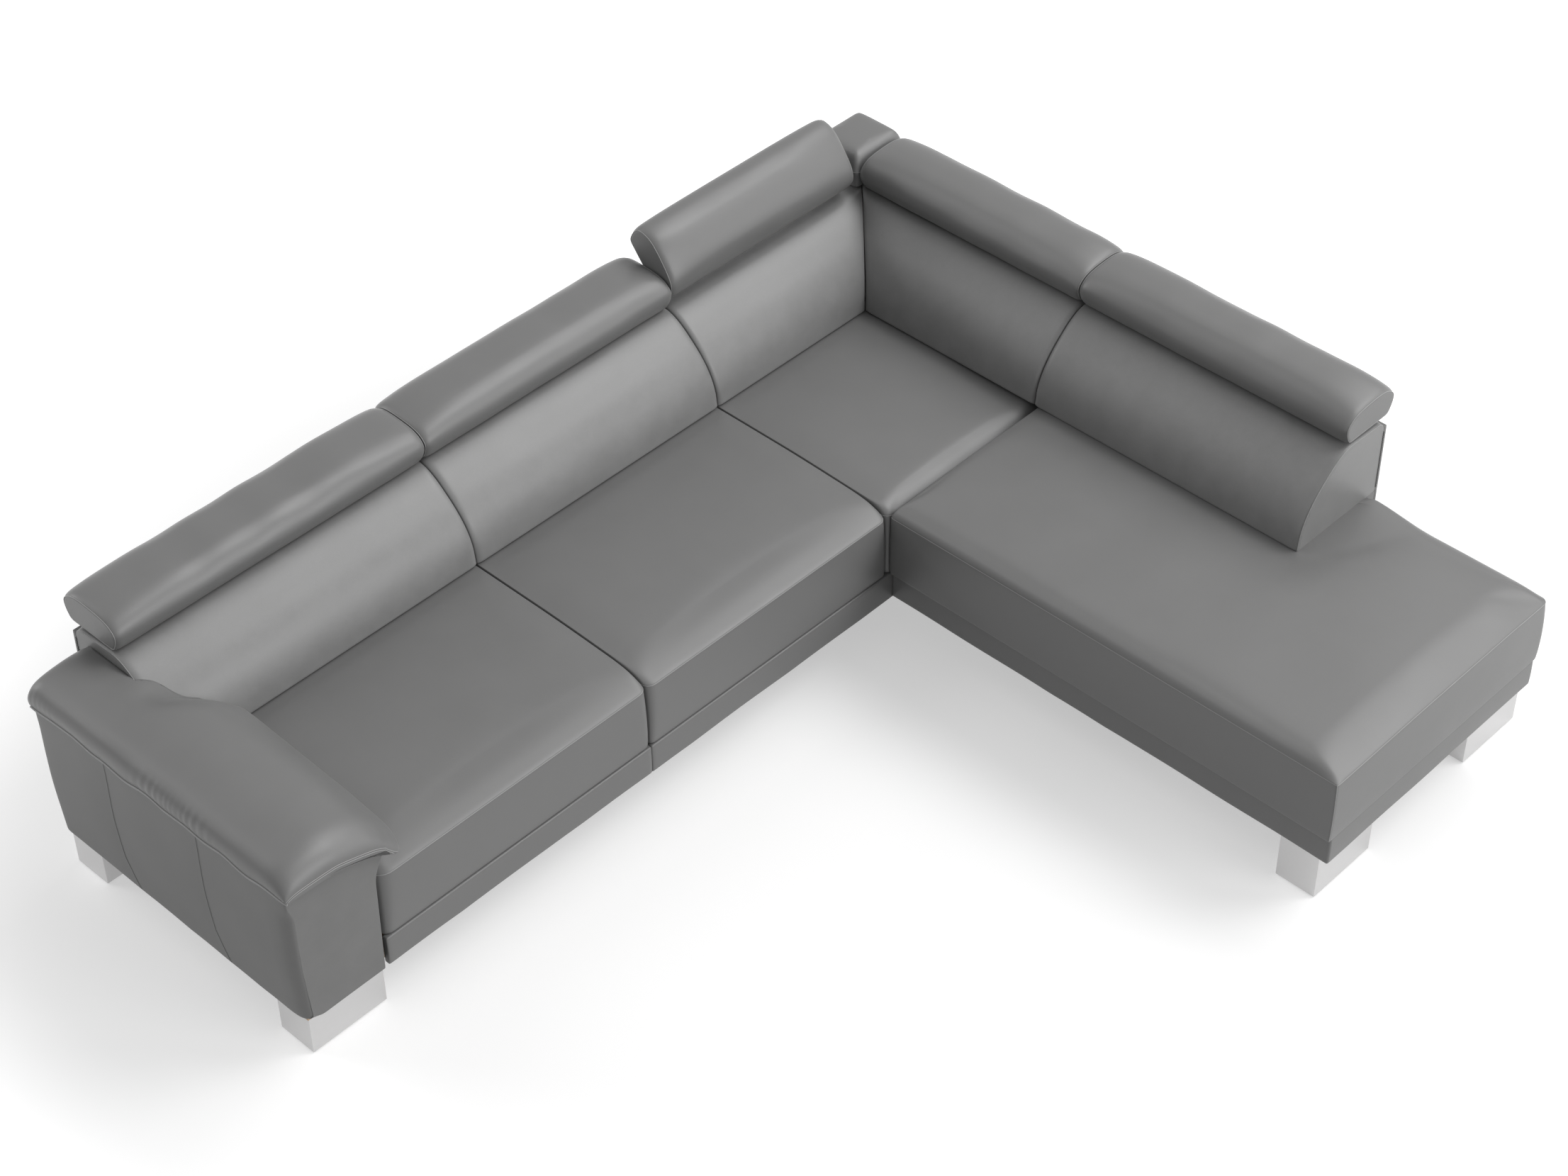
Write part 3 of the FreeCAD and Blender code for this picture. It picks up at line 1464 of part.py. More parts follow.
def check_and_write():
    DOC.recompute()
    failed = failed_objects()
    if failed:
        raise RuntimeError("objects failed to build: " + ", ".join(failed))
    os.makedirs("parts", exist_ok=True)
    for item in NODES:
        shape = item.Shape
        if shape.isNull() or not shape.isValid() or not shape.Solids:
            raise RuntimeError("sub-part %s has no valid solid" % item.Label)
        if shape.Volume <= 0:
            raise RuntimeError("sub-part %s has no volume" % item.Label)
    for item in NODES:
        item.Shape.exportStep("parts/%s.step" % item.Label)
    print("%d sub-parts written" % len(NODES))


if __name__ == "__main__":
    build()
    check_and_write()
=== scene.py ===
"""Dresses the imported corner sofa: leather cushions, seams, stitching, feet, camera and studio.

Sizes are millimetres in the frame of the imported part, and every mesh is made in metres from them.
"""

import json
import logging
import math
from dataclasses import dataclass, field
from enum import Enum
from typing import Iterable, Sequence

import bmesh
import bpy
import numpy as np
from mathutils import Matrix, Vector, noise
from mathutils.bvhtree import BVHTree


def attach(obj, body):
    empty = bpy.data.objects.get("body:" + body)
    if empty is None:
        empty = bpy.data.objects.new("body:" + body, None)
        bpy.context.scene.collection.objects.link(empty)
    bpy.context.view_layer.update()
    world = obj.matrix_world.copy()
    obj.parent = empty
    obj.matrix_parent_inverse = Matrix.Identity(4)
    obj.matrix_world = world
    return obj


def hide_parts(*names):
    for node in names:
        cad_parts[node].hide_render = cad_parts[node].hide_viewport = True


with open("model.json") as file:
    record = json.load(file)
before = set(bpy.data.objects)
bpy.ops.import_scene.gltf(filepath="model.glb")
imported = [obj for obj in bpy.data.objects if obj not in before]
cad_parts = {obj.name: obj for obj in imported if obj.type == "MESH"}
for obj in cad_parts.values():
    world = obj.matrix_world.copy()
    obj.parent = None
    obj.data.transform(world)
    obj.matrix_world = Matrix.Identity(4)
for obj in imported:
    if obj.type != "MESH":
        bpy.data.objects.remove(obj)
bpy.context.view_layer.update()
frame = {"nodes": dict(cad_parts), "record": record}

MM = 0.001
LOG = logging.getLogger("corner_sofa")


# Small helpers for curves and grids


def ease(t: float) -> float:
    """Return a smooth step of t between 0 and 1."""
    t = min(1.0, max(0.0, t))
    return t * t * (3 - 2 * t)


def ease_all(t: np.ndarray) -> np.ndarray:
    """Return a smooth step of each number between 0 and 1."""
    t = np.clip(t, 0, 1)
    return t * t * (3 - 2 * t)


def round_off(inside: float, reach: float) -> float:
    """Return how much of a round end is missing: 1 at the end itself and 0 past its reach."""
    t = 1 - min(1.0, inside / reach)
    return 1 - math.sqrt(max(0.0, 1 - t * t))


def distances(line: np.ndarray) -> np.ndarray:
    """Return how far along a line each of its points is."""
    return np.r_[0, np.cumsum(np.linalg.norm(np.diff(line, axis=0), axis=1))]


def shares(length: float, step: float, close: Sequence[float] = (4, 9, 15, 23, 34)) -> np.ndarray:
    """Places along a side, closer together towards its two ends.

    Args:
        length: The side's length.
        step: The distance between places in the middle.
        close: Distances from each end of the places near it.

    Returns:
        Shares of the length from 0 to 1.
    """
    near = [c for c in close if c < length * 0.3]
    start = near[-1] if near else 0.0
    middle = max(2, int(round((length - 2 * start) / step)))
    inner = np.linspace(start, length - start, middle + 1)
    whole = [0.0] + near[:-1] + list(inner) + [length - c for c in reversed(near[:-1])] + [length]
    if not near:
        whole = list(inner)
    return np.array(whole) / length


@dataclass(frozen=True)
class Corner:
    """A corner of a section, with the length that its rounding takes from each edge."""

    u: float
    v: float
    soft: float = 0.0


@dataclass(frozen=True)
class Section:
    """A closed section whose four marked corners split it into front, top, rear and bottom."""

    corners: tuple[Corner, ...]
    marks: tuple[int, int, int, int]

    def outline(self) -> tuple[np.ndarray, list[int]]:
        """Dense points of the rounded outline.

        Returns:
            The points, and the places in them of the four marked corners.
        """
        points: list[np.ndarray] = []
        marked: list[int] = []
        total = len(self.corners)
        for i, corner in enumerate(self.corners):
            here = np.array([corner.u, corner.v])
            before = self.corners[i - 1]
            after = self.corners[(i + 1) % total]
            back = np.array([before.u, before.v]) - here
            ahead = np.array([after.u, after.v]) - here
            back_reach = min(corner.soft, np.linalg.norm(back) * 0.49)
            ahead_reach = min(corner.soft, np.linalg.norm(ahead) * 0.49)
            start = here + back / np.linalg.norm(back) * back_reach
            end = here + ahead / np.linalg.norm(ahead) * ahead_reach
            first = len(points)
            for t in np.linspace(0, 1, 13):
                points.append((1 - t) ** 2 * start + 2 * t * (1 - t) * here + t * t * end)
            if i in self.marks:
                marked.append(first + 6)
        return np.array(points), marked

    def sides(self) -> list[np.ndarray]:
        """Return the points of each side, from one marked corner to the next."""
        points, marked = self.outline()
        found = []
        for start, end in zip(marked, marked[1:] + marked[:1]):
            if end <= start:
                found.append(np.vstack([points[start:], points[: end + 1]]))
            else:
                found.append(points[start : end + 1])
        return found

    def ring(self, spans: Sequence[np.ndarray]) -> np.ndarray:
        """Points round the section.

        Args:
            spans: Shares of each of the four sides, from 0 to 1.

        Returns:
            One point for each share but the last of each side.
        """
        parts = []
        for side, span in zip(self.sides(), spans):
            steps = distances(side)
            wanted = span[:-1] * steps[-1]
            parts.append(
                np.c_[np.interp(wanted, steps, side[:, 0]), np.interp(wanted, steps, side[:, 1])]
            )
        return np.vstack(parts)

    def lengths(self) -> list[float]:
        """Return the lengths of the four sides."""
        return [float(np.linalg.norm(np.diff(side, axis=0), axis=1).sum()) for side in self.sides()]


def drawn_in(ring: np.ndarray, amount: float) -> np.ndarray:
    """Move a flat ring inwards.

    Args:
        ring: Points of a closed outline.
        amount: The distance.

    Returns:
        The moved points.
    """
    if abs(amount) < 1e-9:
        return ring.copy()
    ahead = np.roll(ring, -1, axis=0) - np.roll(ring, 1, axis=0)
    ahead /= np.linalg.norm(ahead, axis=1)[:, None] + 1e-12
    area = 0.5 * np.sum(ring[:, 0] * np.roll(ring[:, 1], -1) - np.roll(ring[:, 0], -1) * ring[:, 1])
    turn = 1.0 if area > 0 else -1.0
    inward = np.c_[-ahead[:, 1], ahead[:, 0]] * turn
    for _ in range(3):
        inward = (inward + (np.roll(inward, 1, axis=0) + np.roll(inward, -1, axis=0)) * 0.5) * 0.5
    inward /= np.linalg.norm(inward, axis=1)[:, None] + 1e-12
    return ring + inward * amount


def patch(ring: np.ndarray, across: int, along: int) -> np.ndarray:
    """A grid that fills a closed ring.

    Args:
        ring: Points whose four sides have across, along, across and along steps.
        across: Steps on the first side.
        along: Steps on the second side.

    Returns:
        A grid of (across + 1) by (along + 1) points.
    """
    loop = np.vstack([ring, ring[:1]])
    first = loop[: across + 1]
    second = loop[across : across + along + 1]
    third = loop[across + along : 2 * across + along + 1][::-1]
    fourth = loop[2 * across + along :][::-1]

    def share(line: np.ndarray) -> np.ndarray:
        """Return how far along its length each point of a line is."""
        steps = distances(line)
        return steps / max(steps[-1], 1e-9)

    u = ((share(first) + share(third)) / 2)[:, None, None]
    v = ((share(second) + share(fourth)) / 2)[None, :, None]
    grid = (1 - v) * first[:, None, :] + v * third[:, None, :]
    grid = grid + (1 - u) * fourth[None, :, :] + u * second[None, :, :]
    corners = (1 - u) * (1 - v) * first[0] + u * (1 - v) * first[-1]
    corners = corners + (1 - u) * v * third[0] + u * v * third[-1]
    return grid - corners


def box_ring(corners: Sequence[tuple[float, float]], spans: Sequence[np.ndarray]) -> np.ndarray:
    """Points along the four straight sides of a box.

    Args:
        corners: Its corners, in order.
        spans: Shares of each of the four sides, from 0 to 1.

    Returns:
        One point for each share but the last of each side.
    """
    points = []
    for i in range(4):
        a, b = np.array(corners[i]), np.array(corners[(i + 1) % 4])
        for t in spans[i][:-1]:
            points.append(a + (b - a) * t)
    return np.array(points)


@dataclass
class Skin:
    """A closed skin of quads: a stack of rings with a grid over each end."""

    name: str
    rings: np.ndarray
    across: int
    along: int

    def build(self) -> bpy.types.Object:
        """Return the skin as a mesh object in the scene."""
        count, around, _ = self.rings.shape
        points = [self.rings.reshape(-1, 3)]
        faces: list[tuple[int, ...]] = []
        for i in range(count - 1):
            for j in range(around):
                k = (j + 1) % around
                faces.append((i * around + j, i * around + k, (i + 1) * around + k, (i + 1) * around + j))
        total = count * around
        for last in (False, True):
            ring = self.rings[-1 if last else 0]
            base = (count - 1) * around if last else 0
            grid = patch(ring, self.across, self.along)
            index = np.zeros(grid.shape[:2], int)
            inner = grid[1:-1, 1:-1].reshape(-1, 3)
            index[1:-1, 1:-1] = total + np.arange(len(inner)).reshape(grid.shape[0] - 2, grid.shape[1] - 2)
            a, b = self.across, self.along
            for j in range(a + 1):
                index[j, 0] = base + j
                index[j, b] = base + (2 * a + b - j) % around
            for j in range(b + 1):
                index[a, j] = base + (a + j) % around
                index[0, j] = base + (2 * a + 2 * b - j) % around
            total += len(inner)
            points.append(inner)
            for p in range(a):
                for q in range(b):
                    face = (index[p, q], index[p + 1, q], index[p + 1, q + 1], index[p, q + 1])
                    faces.append(tuple(int(x) for x in (face if last else face[::-1])))
        return mesh_object(self.name, np.vstack(points), faces)


def mesh_object(name: str, points: np.ndarray, faces: Iterable[Sequence[int]]) -> bpy.types.Object:
    """Make a smooth mesh object from points in millimetres.

    Args:
        name: The object's name.
        points: The vertices.
        faces: The vertex numbers of each face.

    Returns:
        The object, linked to the scene.
    """
    mesh = bpy.data.meshes.new(name)
    mesh.from_pydata((np.asarray(points) * MM).tolist(), [], [list(f) for f in faces])
    work = bmesh.new()
    work.from_mesh(mesh)
    bmesh.ops.recalc_face_normals(work, faces=work.faces)
    work.to_mesh(mesh)
    work.free()
    mesh.polygons.foreach_set("use_smooth", [True] * len(mesh.polygons))
    mesh.update()
    made = bpy.data.objects.new(name, mesh)
    bpy.context.scene.collection.objects.link(made)
    return made


def read_points(thing: bpy.types.Object) -> np.ndarray:
    """Return the vertices of an object's own mesh in millimetres."""
    points = np.zeros(len(thing.data.vertices) * 3)
    thing.data.vertices.foreach_get("co", points)
    return points.reshape(-1, 3) / MM


def write_points(thing: bpy.types.Object, points: np.ndarray) -> None:
    """Set the vertices of an object's own mesh, in millimetres."""
    thing.data.vertices.foreach_set("co", (points * MM).ravel())
    thing.data.update()


def soften(thing: bpy.types.Object) -> None:
    """Add a subdivision surface of one level to an object."""
    modifier = thing.modifiers.new("soft surface", "SUBSURF")
    modifier.levels = 1
    modifier.render_levels = 1


def settle(thing: bpy.types.Object) -> None:
    """Apply all modifiers of an object to its mesh."""
    graph = bpy.context.evaluated_depsgraph_get()
    mesh = bpy.data.meshes.new_from_object(thing.evaluated_get(graph))
    thing.modifiers.clear()
    thing.data = mesh


def tube(name: str, path: np.ndarray, radius: float, closed: bool, sides: int = 8) -> bpy.types.Object:
    """A round bead along a path.

    Args:
        name: The object's name.
        path: The points of its centre line, in millimetres.
        radius: The bead's radius.
        closed: Whether the last point joins the first.
        sides: The number of sides.

    Returns:
        The bead.
    """
    count = len(path)
    if closed:
        ahead = np.roll(path, -1, axis=0) - np.roll(path, 1, axis=0)
    else:
        ahead = np.gradient(path, axis=0)
    ahead /= np.linalg.norm(ahead, axis=1)[:, None] + 1e-12
    normal = np.cross(ahead[0], [0.0, 0.0, 1.0])
    if np.linalg.norm(normal) < 0.1:
        normal = np.cross(ahead[0], [0.0, 1.0, 0.0])
    normal /= np.linalg.norm(normal)
    points = []
    for i in range(count):
        normal = normal - ahead[i] * np.dot(normal, ahead[i])
        normal /= np.linalg.norm(normal)
        other = np.cross(ahead[i], normal)
        for k in range(sides):
            angle = 2 * math.pi * k / sides
            points.append(path[i] + radius * (math.cos(angle) * normal + math.sin(angle) * other))
    faces = []
    for i in range(count if closed else count - 1):
        j = (i + 1) % count
        for k in range(sides):
            m = (k + 1) % sides
            faces.append((i * sides + k, i * sides + m, j * sides + m, j * sides + k))
    if not closed:
        faces.append(tuple(range(sides))[::-1])
        faces.append(tuple((count - 1) * sides + k for k in range(sides)))
    return mesh_object(name, np.array(points), faces)


STITCH_SIDES = 6
STITCH_SHAPE = ((0.0, 0.35), (0.2, 0.9), (0.5, 1.0), (0.8, 0.9), (1.0, 0.35))


def stitches(
    name: str, path: np.ndarray, outward: np.ndarray, pitch: float, length: float, radius: float
) -> bpy.types.Object:
    """A row of separate thread stitches that lie on a surface.

    Args:
        name: The object's name.
        path: The seam's points, in millimetres.
        outward: The direction away from the surface at each point.
        pitch: The distance from one stitch to the next.
        length: The length of a stitch.
        radius: The radius of the thread.

    Returns:
        All the stitches as one object.
    """
    steps = distances(path)
    points: list[np.ndarray] = []
    faces: list[tuple[int, ...]] = []

    def at(values: np.ndarray, distance: float) -> np.ndarray:
        """Return values of the path's points at a distance along it."""
        return np.array([np.interp(distance, steps, values[:, k]) for k in range(3)])

    for number in range(int((steps[-1] - length) / pitch) + 1):
        start = number * pitch + (pitch - length) / 2
        ahead = at(path, start + length) - at(path, start)
        ahead /= np.linalg.norm(ahead) + 1e-12
        up = at(outward, start + length / 2)
        up = up - ahead * np.dot(up, ahead)
        up /= np.linalg.norm(up) + 1e-12
        side = np.cross(ahead, up)
        first = len(points)
        for share, size in STITCH_SHAPE:
            arch = radius * (0.9 * math.sin(math.pi * share) - 0.35)
            centre = at(path, start + length * share) + up * arch
            for k in range(STITCH_SIDES):
                angle = math.pi * 2 * k / STITCH_SIDES
                points.append(centre + radius * size * (math.cos(angle) * up + math.sin(angle) * side))
        for ring in range(len(STITCH_SHAPE) - 1):
            a = first + ring * STITCH_SIDES
            b = a + STITCH_SIDES
            for k in range(STITCH_SIDES):
                m = (k + 1) % STITCH_SIDES
                faces.append((a + k, a + m, b + m, b + k))
        last = len(points) - STITCH_SIDES
        faces.append(tuple(first + k for k in range(STITCH_SIDES))[::-1])
        faces.append(tuple(last + k for k in range(STITCH_SIDES)))
    return mesh_object(name, np.array(points), faces)


@dataclass
class Surface:
    """The finished surface of a piece, on which seams and stitches are laid."""

    thing: bpy.types.Object

    def tree(self) -> BVHTree:
        """Return a search tree of the piece with its modifiers."""
        graph = bpy.context.evaluated_depsgraph_get()
        mesh = self.thing.evaluated_get(graph).to_mesh()
        points = [self.thing.matrix_world @ v.co for v in mesh.vertices]
        return BVHTree.FromPolygons(points, [tuple(f.vertices) for f in mesh.polygons])

    def lay(
        self, path: np.ndarray, toward: Sequence[float], lift: float = 0.0
    ) -> tuple[np.ndarray, np.ndarray]:
        """Drop the points of a path onto the surface.

        Args:
            path: Points in millimetres, outside the surface.
            toward: The direction in which they drop.
            lift: How far above the surface they stay.

        Returns:
            The points that met the surface and its outward direction at each.
        """
        tree = self.tree()
        found: list[np.ndarray] = []
        outward: list[np.ndarray] = []
        for point in path:
            hit, normal, _, _ = tree.ray_cast(Vector(point) * MM, Vector(toward))
            if hit is None:
                continue
            if normal.dot(Vector(toward)) > 0:
                normal = -normal
            found.append(np.array(hit) / MM + np.array(normal) * lift)
            outward.append(np.array(normal))
        return np.array(found), np.array(outward)


def wobble(points: np.ndarray, size: float, depth: float, seed: float) -> np.ndarray:
    """Smooth seeded unevenness.

    Args:
        points: Places in millimetres.
        size: The distance over which it changes.
        depth: Its greatest value.
        seed: A number that picks one pattern.

    Returns:
        A value for each place.
    """
    shift = Vector((seed * 7.3, seed * 3.1, seed * 5.7))
    return np.array([noise.noise(Vector(p / size) + shift) for p in points]) * depth


# Finishes


class Grain(Enum):
    """How lively a leather's surface is."""

    SMOOTH = "smooth"
    CLOUDED = "clouded"
    MATT = "matt"


class NodeDesk:
    """Adds shader nodes to one tree and joins them."""

    def __init__(self, tree: bpy.types.NodeTree) -> None:
        """Keep the tree."""
        self.tree = tree

    def add(self, kind: str, inputs: dict | None = None, **settings: object) -> bpy.types.Node:
        """Add a node.

        Args:
            kind: The node's type.
            inputs: Values or sockets for its inputs, by name or number.
            settings: Values of its own properties.

        Returns:
            The node.
        """
        made = self.tree.nodes.new(kind)
        for name, value in settings.items():
            setattr(made, name, value)
        for name, value in (inputs or {}).items():
            socket = made.inputs[name]
            if isinstance(value, bpy.types.NodeSocket):
                self.tree.links.new(value, socket)
            else:
                socket.default_value = value
        return made


def leather_group() -> bpy.types.NodeTree:
    """The shared leather effect: clouded tone, uneven gloss and fine pebbled grain.

    Returns:
        A node group with the outputs Tone, Roughness and Height.
    """
    group = bpy.data.node_groups.get("leather surface")
    if group is not None:
        return group
    group = bpy.data.node_groups.new("leather surface", "ShaderNodeTree")
    for name, value in (
        ("Cloud Scale", 6.0),
        ("Cloud Strength", 0.5),
        ("Grain Scale", 700.0),
        ("Gloss Low", 0.38),
        ("Gloss High", 0.48),
        ("Crease Scale", 60.0),
    ):
        socket = group.interface.new_socket(name, in_out="INPUT", socket_type="NodeSocketFloat")
        socket.default_value = value
    for name in ("Tone", "Roughness", "Height"):
        group.interface.new_socket(name, in_out="OUTPUT", socket_type="NodeSocketFloat")
    desk = NodeDesk(group)
    entry = desk.add("NodeGroupInput")
    leave = desk.add("NodeGroupOutput")
    place = desk.add("ShaderNodeTexCoord").outputs["Object"]
    cloud = desk.add(
        "ShaderNodeTexNoise",
        {"Vector": place, "Scale": entry.outputs["Cloud Scale"], "Detail": 5.0, "Roughness": 0.6},
    )
    fleck = desk.add("ShaderNodeTexNoise", {"Vector": place, "Scale": 260.0, "Detail": 3.0, "Roughness": 0.7})
    blend = desk.add(
        "ShaderNodeMath", {0: fleck.outputs["Fac"], 1: 0.3, 2: cloud.outputs["Fac"]}, operation="MULTIPLY_ADD"
    )
    centred = desk.add("ShaderNodeMath", {0: blend.outputs[0], 1: 0.65}, operation="SUBTRACT")
    strong = desk.add(
        "ShaderNodeMath", {0: centred.outputs[0], 1: entry.outputs["Cloud Strength"], 2: 0.5},
        operation="MULTIPLY_ADD", use_clamp=True,
    )
    group.links.new(strong.outputs[0], leave.inputs["Tone"])
    pebble = desk.add(
        "ShaderNodeTexVoronoi",
        {"Vector": place, "Scale": entry.outputs["Grain Scale"], "Smoothness": 0.6},
        feature="SMOOTH_F1",
    )
    crease = desk.add(
        "ShaderNodeTexNoise",
        {"Vector": place, "Scale": entry.outputs["Crease Scale"], "Detail": 6.0, "Roughness": 0.62},
    )
    height = desk.add(
        "ShaderNodeMath", {0: crease.outputs["Fac"], 1: 0.9, 2: pebble.outputs["Distance"]},
        operation="MULTIPLY_ADD",
    )
    group.links.new(height.outputs[0], leave.inputs["Height"])
    gloss = desk.add(
        "ShaderNodeMapRange",
        {
            "Value": blend.outputs[0], "From Min": 0.35, "From Max": 0.95,
            "To Min": entry.outputs["Gloss Low"], "To Max": entry.outputs["Gloss High"],
        },
    )
    group.links.new(gloss.outputs["Result"], leave.inputs["Roughness"])
    return group


@dataclass(frozen=True)
class LeatherFinish:
    """A dyed, lightly grained grey leather."""

    name: str
    dark: tuple[float, float, float] = (0.131, 0.131, 0.13)
    light: tuple[float, float, float] = (0.157, 0.157, 0.156)
    gloss: tuple[float, float] = (0.36, 0.46)
    grain: Grain = Grain.SMOOTH
    relief: float = 0.22

    def material(self) -> bpy.types.Material:
        """Return the material, made once."""
        found = bpy.data.materials.get(self.name)
        if found is not None:
            return found
        made = bpy.data.materials.new(self.name)
        made.use_nodes = True
        desk = NodeDesk(made.node_tree)
        shader = made.node_tree.nodes["Principled BSDF"]
        cloud_scale, cloud_strength = {
            Grain.SMOOTH: (7.0, 0.7),
            Grain.CLOUDED: (16.0, 1.6),
            Grain.MATT: (9.0, 1.9),
        }[self.grain]
        surface = desk.add(
            "ShaderNodeGroup",
            {
                "Cloud Scale": cloud_scale, "Cloud Strength": cloud_strength,
                "Gloss Low": self.gloss[0], "Gloss High": self.gloss[1],
            },
            node_tree=leather_group(),
        )
        ramp = desk.add("ShaderNodeValToRGB", {"Fac": surface.outputs["Tone"]})
        ramp.color_ramp.elements[0].color = (*self.dark, 1)
        ramp.color_ramp.elements[1].color = (*self.light, 1)
        made.node_tree.links.new(ramp.outputs["Color"], shader.inputs["Base Color"])
        made.node_tree.links.new(surface.outputs["Roughness"], shader.inputs["Roughness"])
        bump = desk.add(
            "ShaderNodeBump",
            {"Height": surface.outputs["Height"], "Strength": self.relief, "Distance": 0.0004},
        )
        made.node_tree.links.new(bump.outputs["Normal"], shader.inputs["Normal"])
        shader.inputs["Specular IOR Level"].default_value = 0.5
        return made


@dataclass(frozen=True)
class PlainFinish:
    """A hard finish with a fine procedural unevenness, such as metal, timber or plastic."""

    name: str
    dark: tuple[float, float, float]
    light: tuple[float, float, float]
    gloss: tuple[float, float]
    metallic: float = 0.0
    stretch: tuple[float, float, float] = (1.0, 1.0, 1.0)
    scale: float = 120.0
    relief: float = 0.1
    rings: bool = False

    def material(self) -> bpy.types.Material:
        """Return the material, made once."""
        found = bpy.data.materials.get(self.name)
        if found is not None:
            return found
        made = bpy.data.materials.new(self.name)
        made.use_nodes = True
        tree = made.node_tree
        desk = NodeDesk(tree)
        shader = tree.nodes["Principled BSDF"]
        place = desk.add("ShaderNodeTexCoord").outputs["Object"]
        mapped = desk.add("ShaderNodeMapping", {"Vector": place, "Scale": self.stretch}).outputs["Vector"]
        if self.rings:
            pattern = desk.add(
                "ShaderNodeTexWave",
                {"Vector": mapped, "Scale": self.scale, "Distortion": 5.0, "Detail": 3.0},
            )
        else:
            pattern = desk.add(
                "ShaderNodeTexNoise",
                {"Vector": mapped, "Scale": self.scale, "Detail": 5.0, "Roughness": 0.6},
            )
        value = pattern.outputs["Fac"]
        ramp = desk.add("ShaderNodeValToRGB", {"Fac": value})
        ramp.color_ramp.elements[0].position = 0.25
        ramp.color_ramp.elements[1].position = 0.75
        ramp.color_ramp.elements[0].color = (*self.dark, 1)
        ramp.color_ramp.elements[1].color = (*self.light, 1)
        tree.links.new(ramp.outputs["Color"], shader.inputs["Base Color"])
        gloss = desk.add(
            "ShaderNodeMapRange", {"Value": value, "To Min": self.gloss[0], "To Max": self.gloss[1]}
        )
        tree.links.new(gloss.outputs["Result"], shader.inputs["Roughness"])
        bump = desk.add("ShaderNodeBump", {"Height": value, "Strength": self.relief, "Distance": 0.0005})
        tree.links.new(bump.outputs["Normal"], shader.inputs["Normal"])
        shader.inputs["Metallic"].default_value = self.metallic
        return made


SEAT_LEATHER = LeatherFinish("seat leather")
BACK_LEATHER = LeatherFinish(
    "back leather", (0.168, 0.168, 0.167), (0.202, 0.202, 0.201), grain=Grain.CLOUDED
)
ARM_SIDE_LEATHER = LeatherFinish(
    "arm side leather", (0.129, 0.129, 0.1275), (0.159, 0.159, 0.1575), (0.46, 0.58), Grain.MATT, 0.3
)
# Beads and piping: the leather's tone made lighter, a painted highlight for the light that their rounded tops
# catch
PAINTED_HIGHLIGHT_WELT = LeatherFinish("welt leather painted highlight", (0.26, 0.26, 0.258), (0.31, 0.31, 0.308), (0.4, 0.5))
THREAD = LeatherFinish(
    "seam thread", (0.22, 0.22, 0.215), (0.27, 0.27, 0.265), (0.55, 0.65), Grain.SMOOTH, 0.4
)
DARK_THREAD = LeatherFinish("dark thread", (0.03, 0.03, 0.03), (0.05, 0.05, 0.05), (0.55, 0.65))
EDGE_BEAD = 1.1
END_BEAD = 0.9
NODE_FINISHES = {
    "grey_leather": SEAT_LEATHER,
    "foam": PlainFinish(
        "seat foam", (0.72, 0.68, 0.55), (0.82, 0.78, 0.66), (0.85, 0.95), scale=300.0, relief=0.5
    ),
    "timber": PlainFinish(
        "beech timber", (0.50, 0.34, 0.20), (0.66, 0.48, 0.31), (0.5, 0.65),
        stretch=(1.0, 1.0, 8.0), scale=14.0, rings=True,
    ),
    "zinc_steel": PlainFinish(
        "zinc plated steel", (0.50, 0.51, 0.52), (0.66, 0.67, 0.68), (0.28, 0.42),
        metallic=1.0, stretch=(1.0, 12.0, 1.0), scale=60.0, relief=0.08,
    ),
    "webbing": PlainFinish(
        "elastic webbing", (0.05, 0.05, 0.05), (0.12, 0.12, 0.12), (0.75, 0.9),
        stretch=(6.0, 1.0, 1.0), scale=180.0, relief=0.5,
    ),
    "dust_cloth": PlainFinish(
        "dust cloth", (0.018, 0.018, 0.018), (0.04, 0.04, 0.04), (0.85, 0.95), scale=500.0, relief=0.5
    ),
    "foot_silver": PlainFinish(
        "silver lacquer", (0.58, 0.576, 0.576), (0.61, 0.606, 0.606), (0.28, 0.33),
        metallic=1.0, stretch=(1.0, 1.0, 9.0), scale=90.0, relief=0.01,
    ),
    "black_plastic": PlainFinish(
        "black plastic", (0.012, 0.012, 0.012), (0.03, 0.03, 0.03), (0.45, 0.6), scale=240.0
    ),
}


def finish_piece(
    thing: bpy.types.Object, finish: LeatherFinish | PlainFinish, body: str = "sofa"
) -> None:
    """Give a piece its material, slot and body.

    Args:
        thing: The piece.
        finish: Its finish.
        body: The body that it rides on.
    """
    thing.data.materials.clear()
    thing.data.materials.append(finish.material())
    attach(thing, body)


# Padding: the leather is blown out against its sewn edges and set


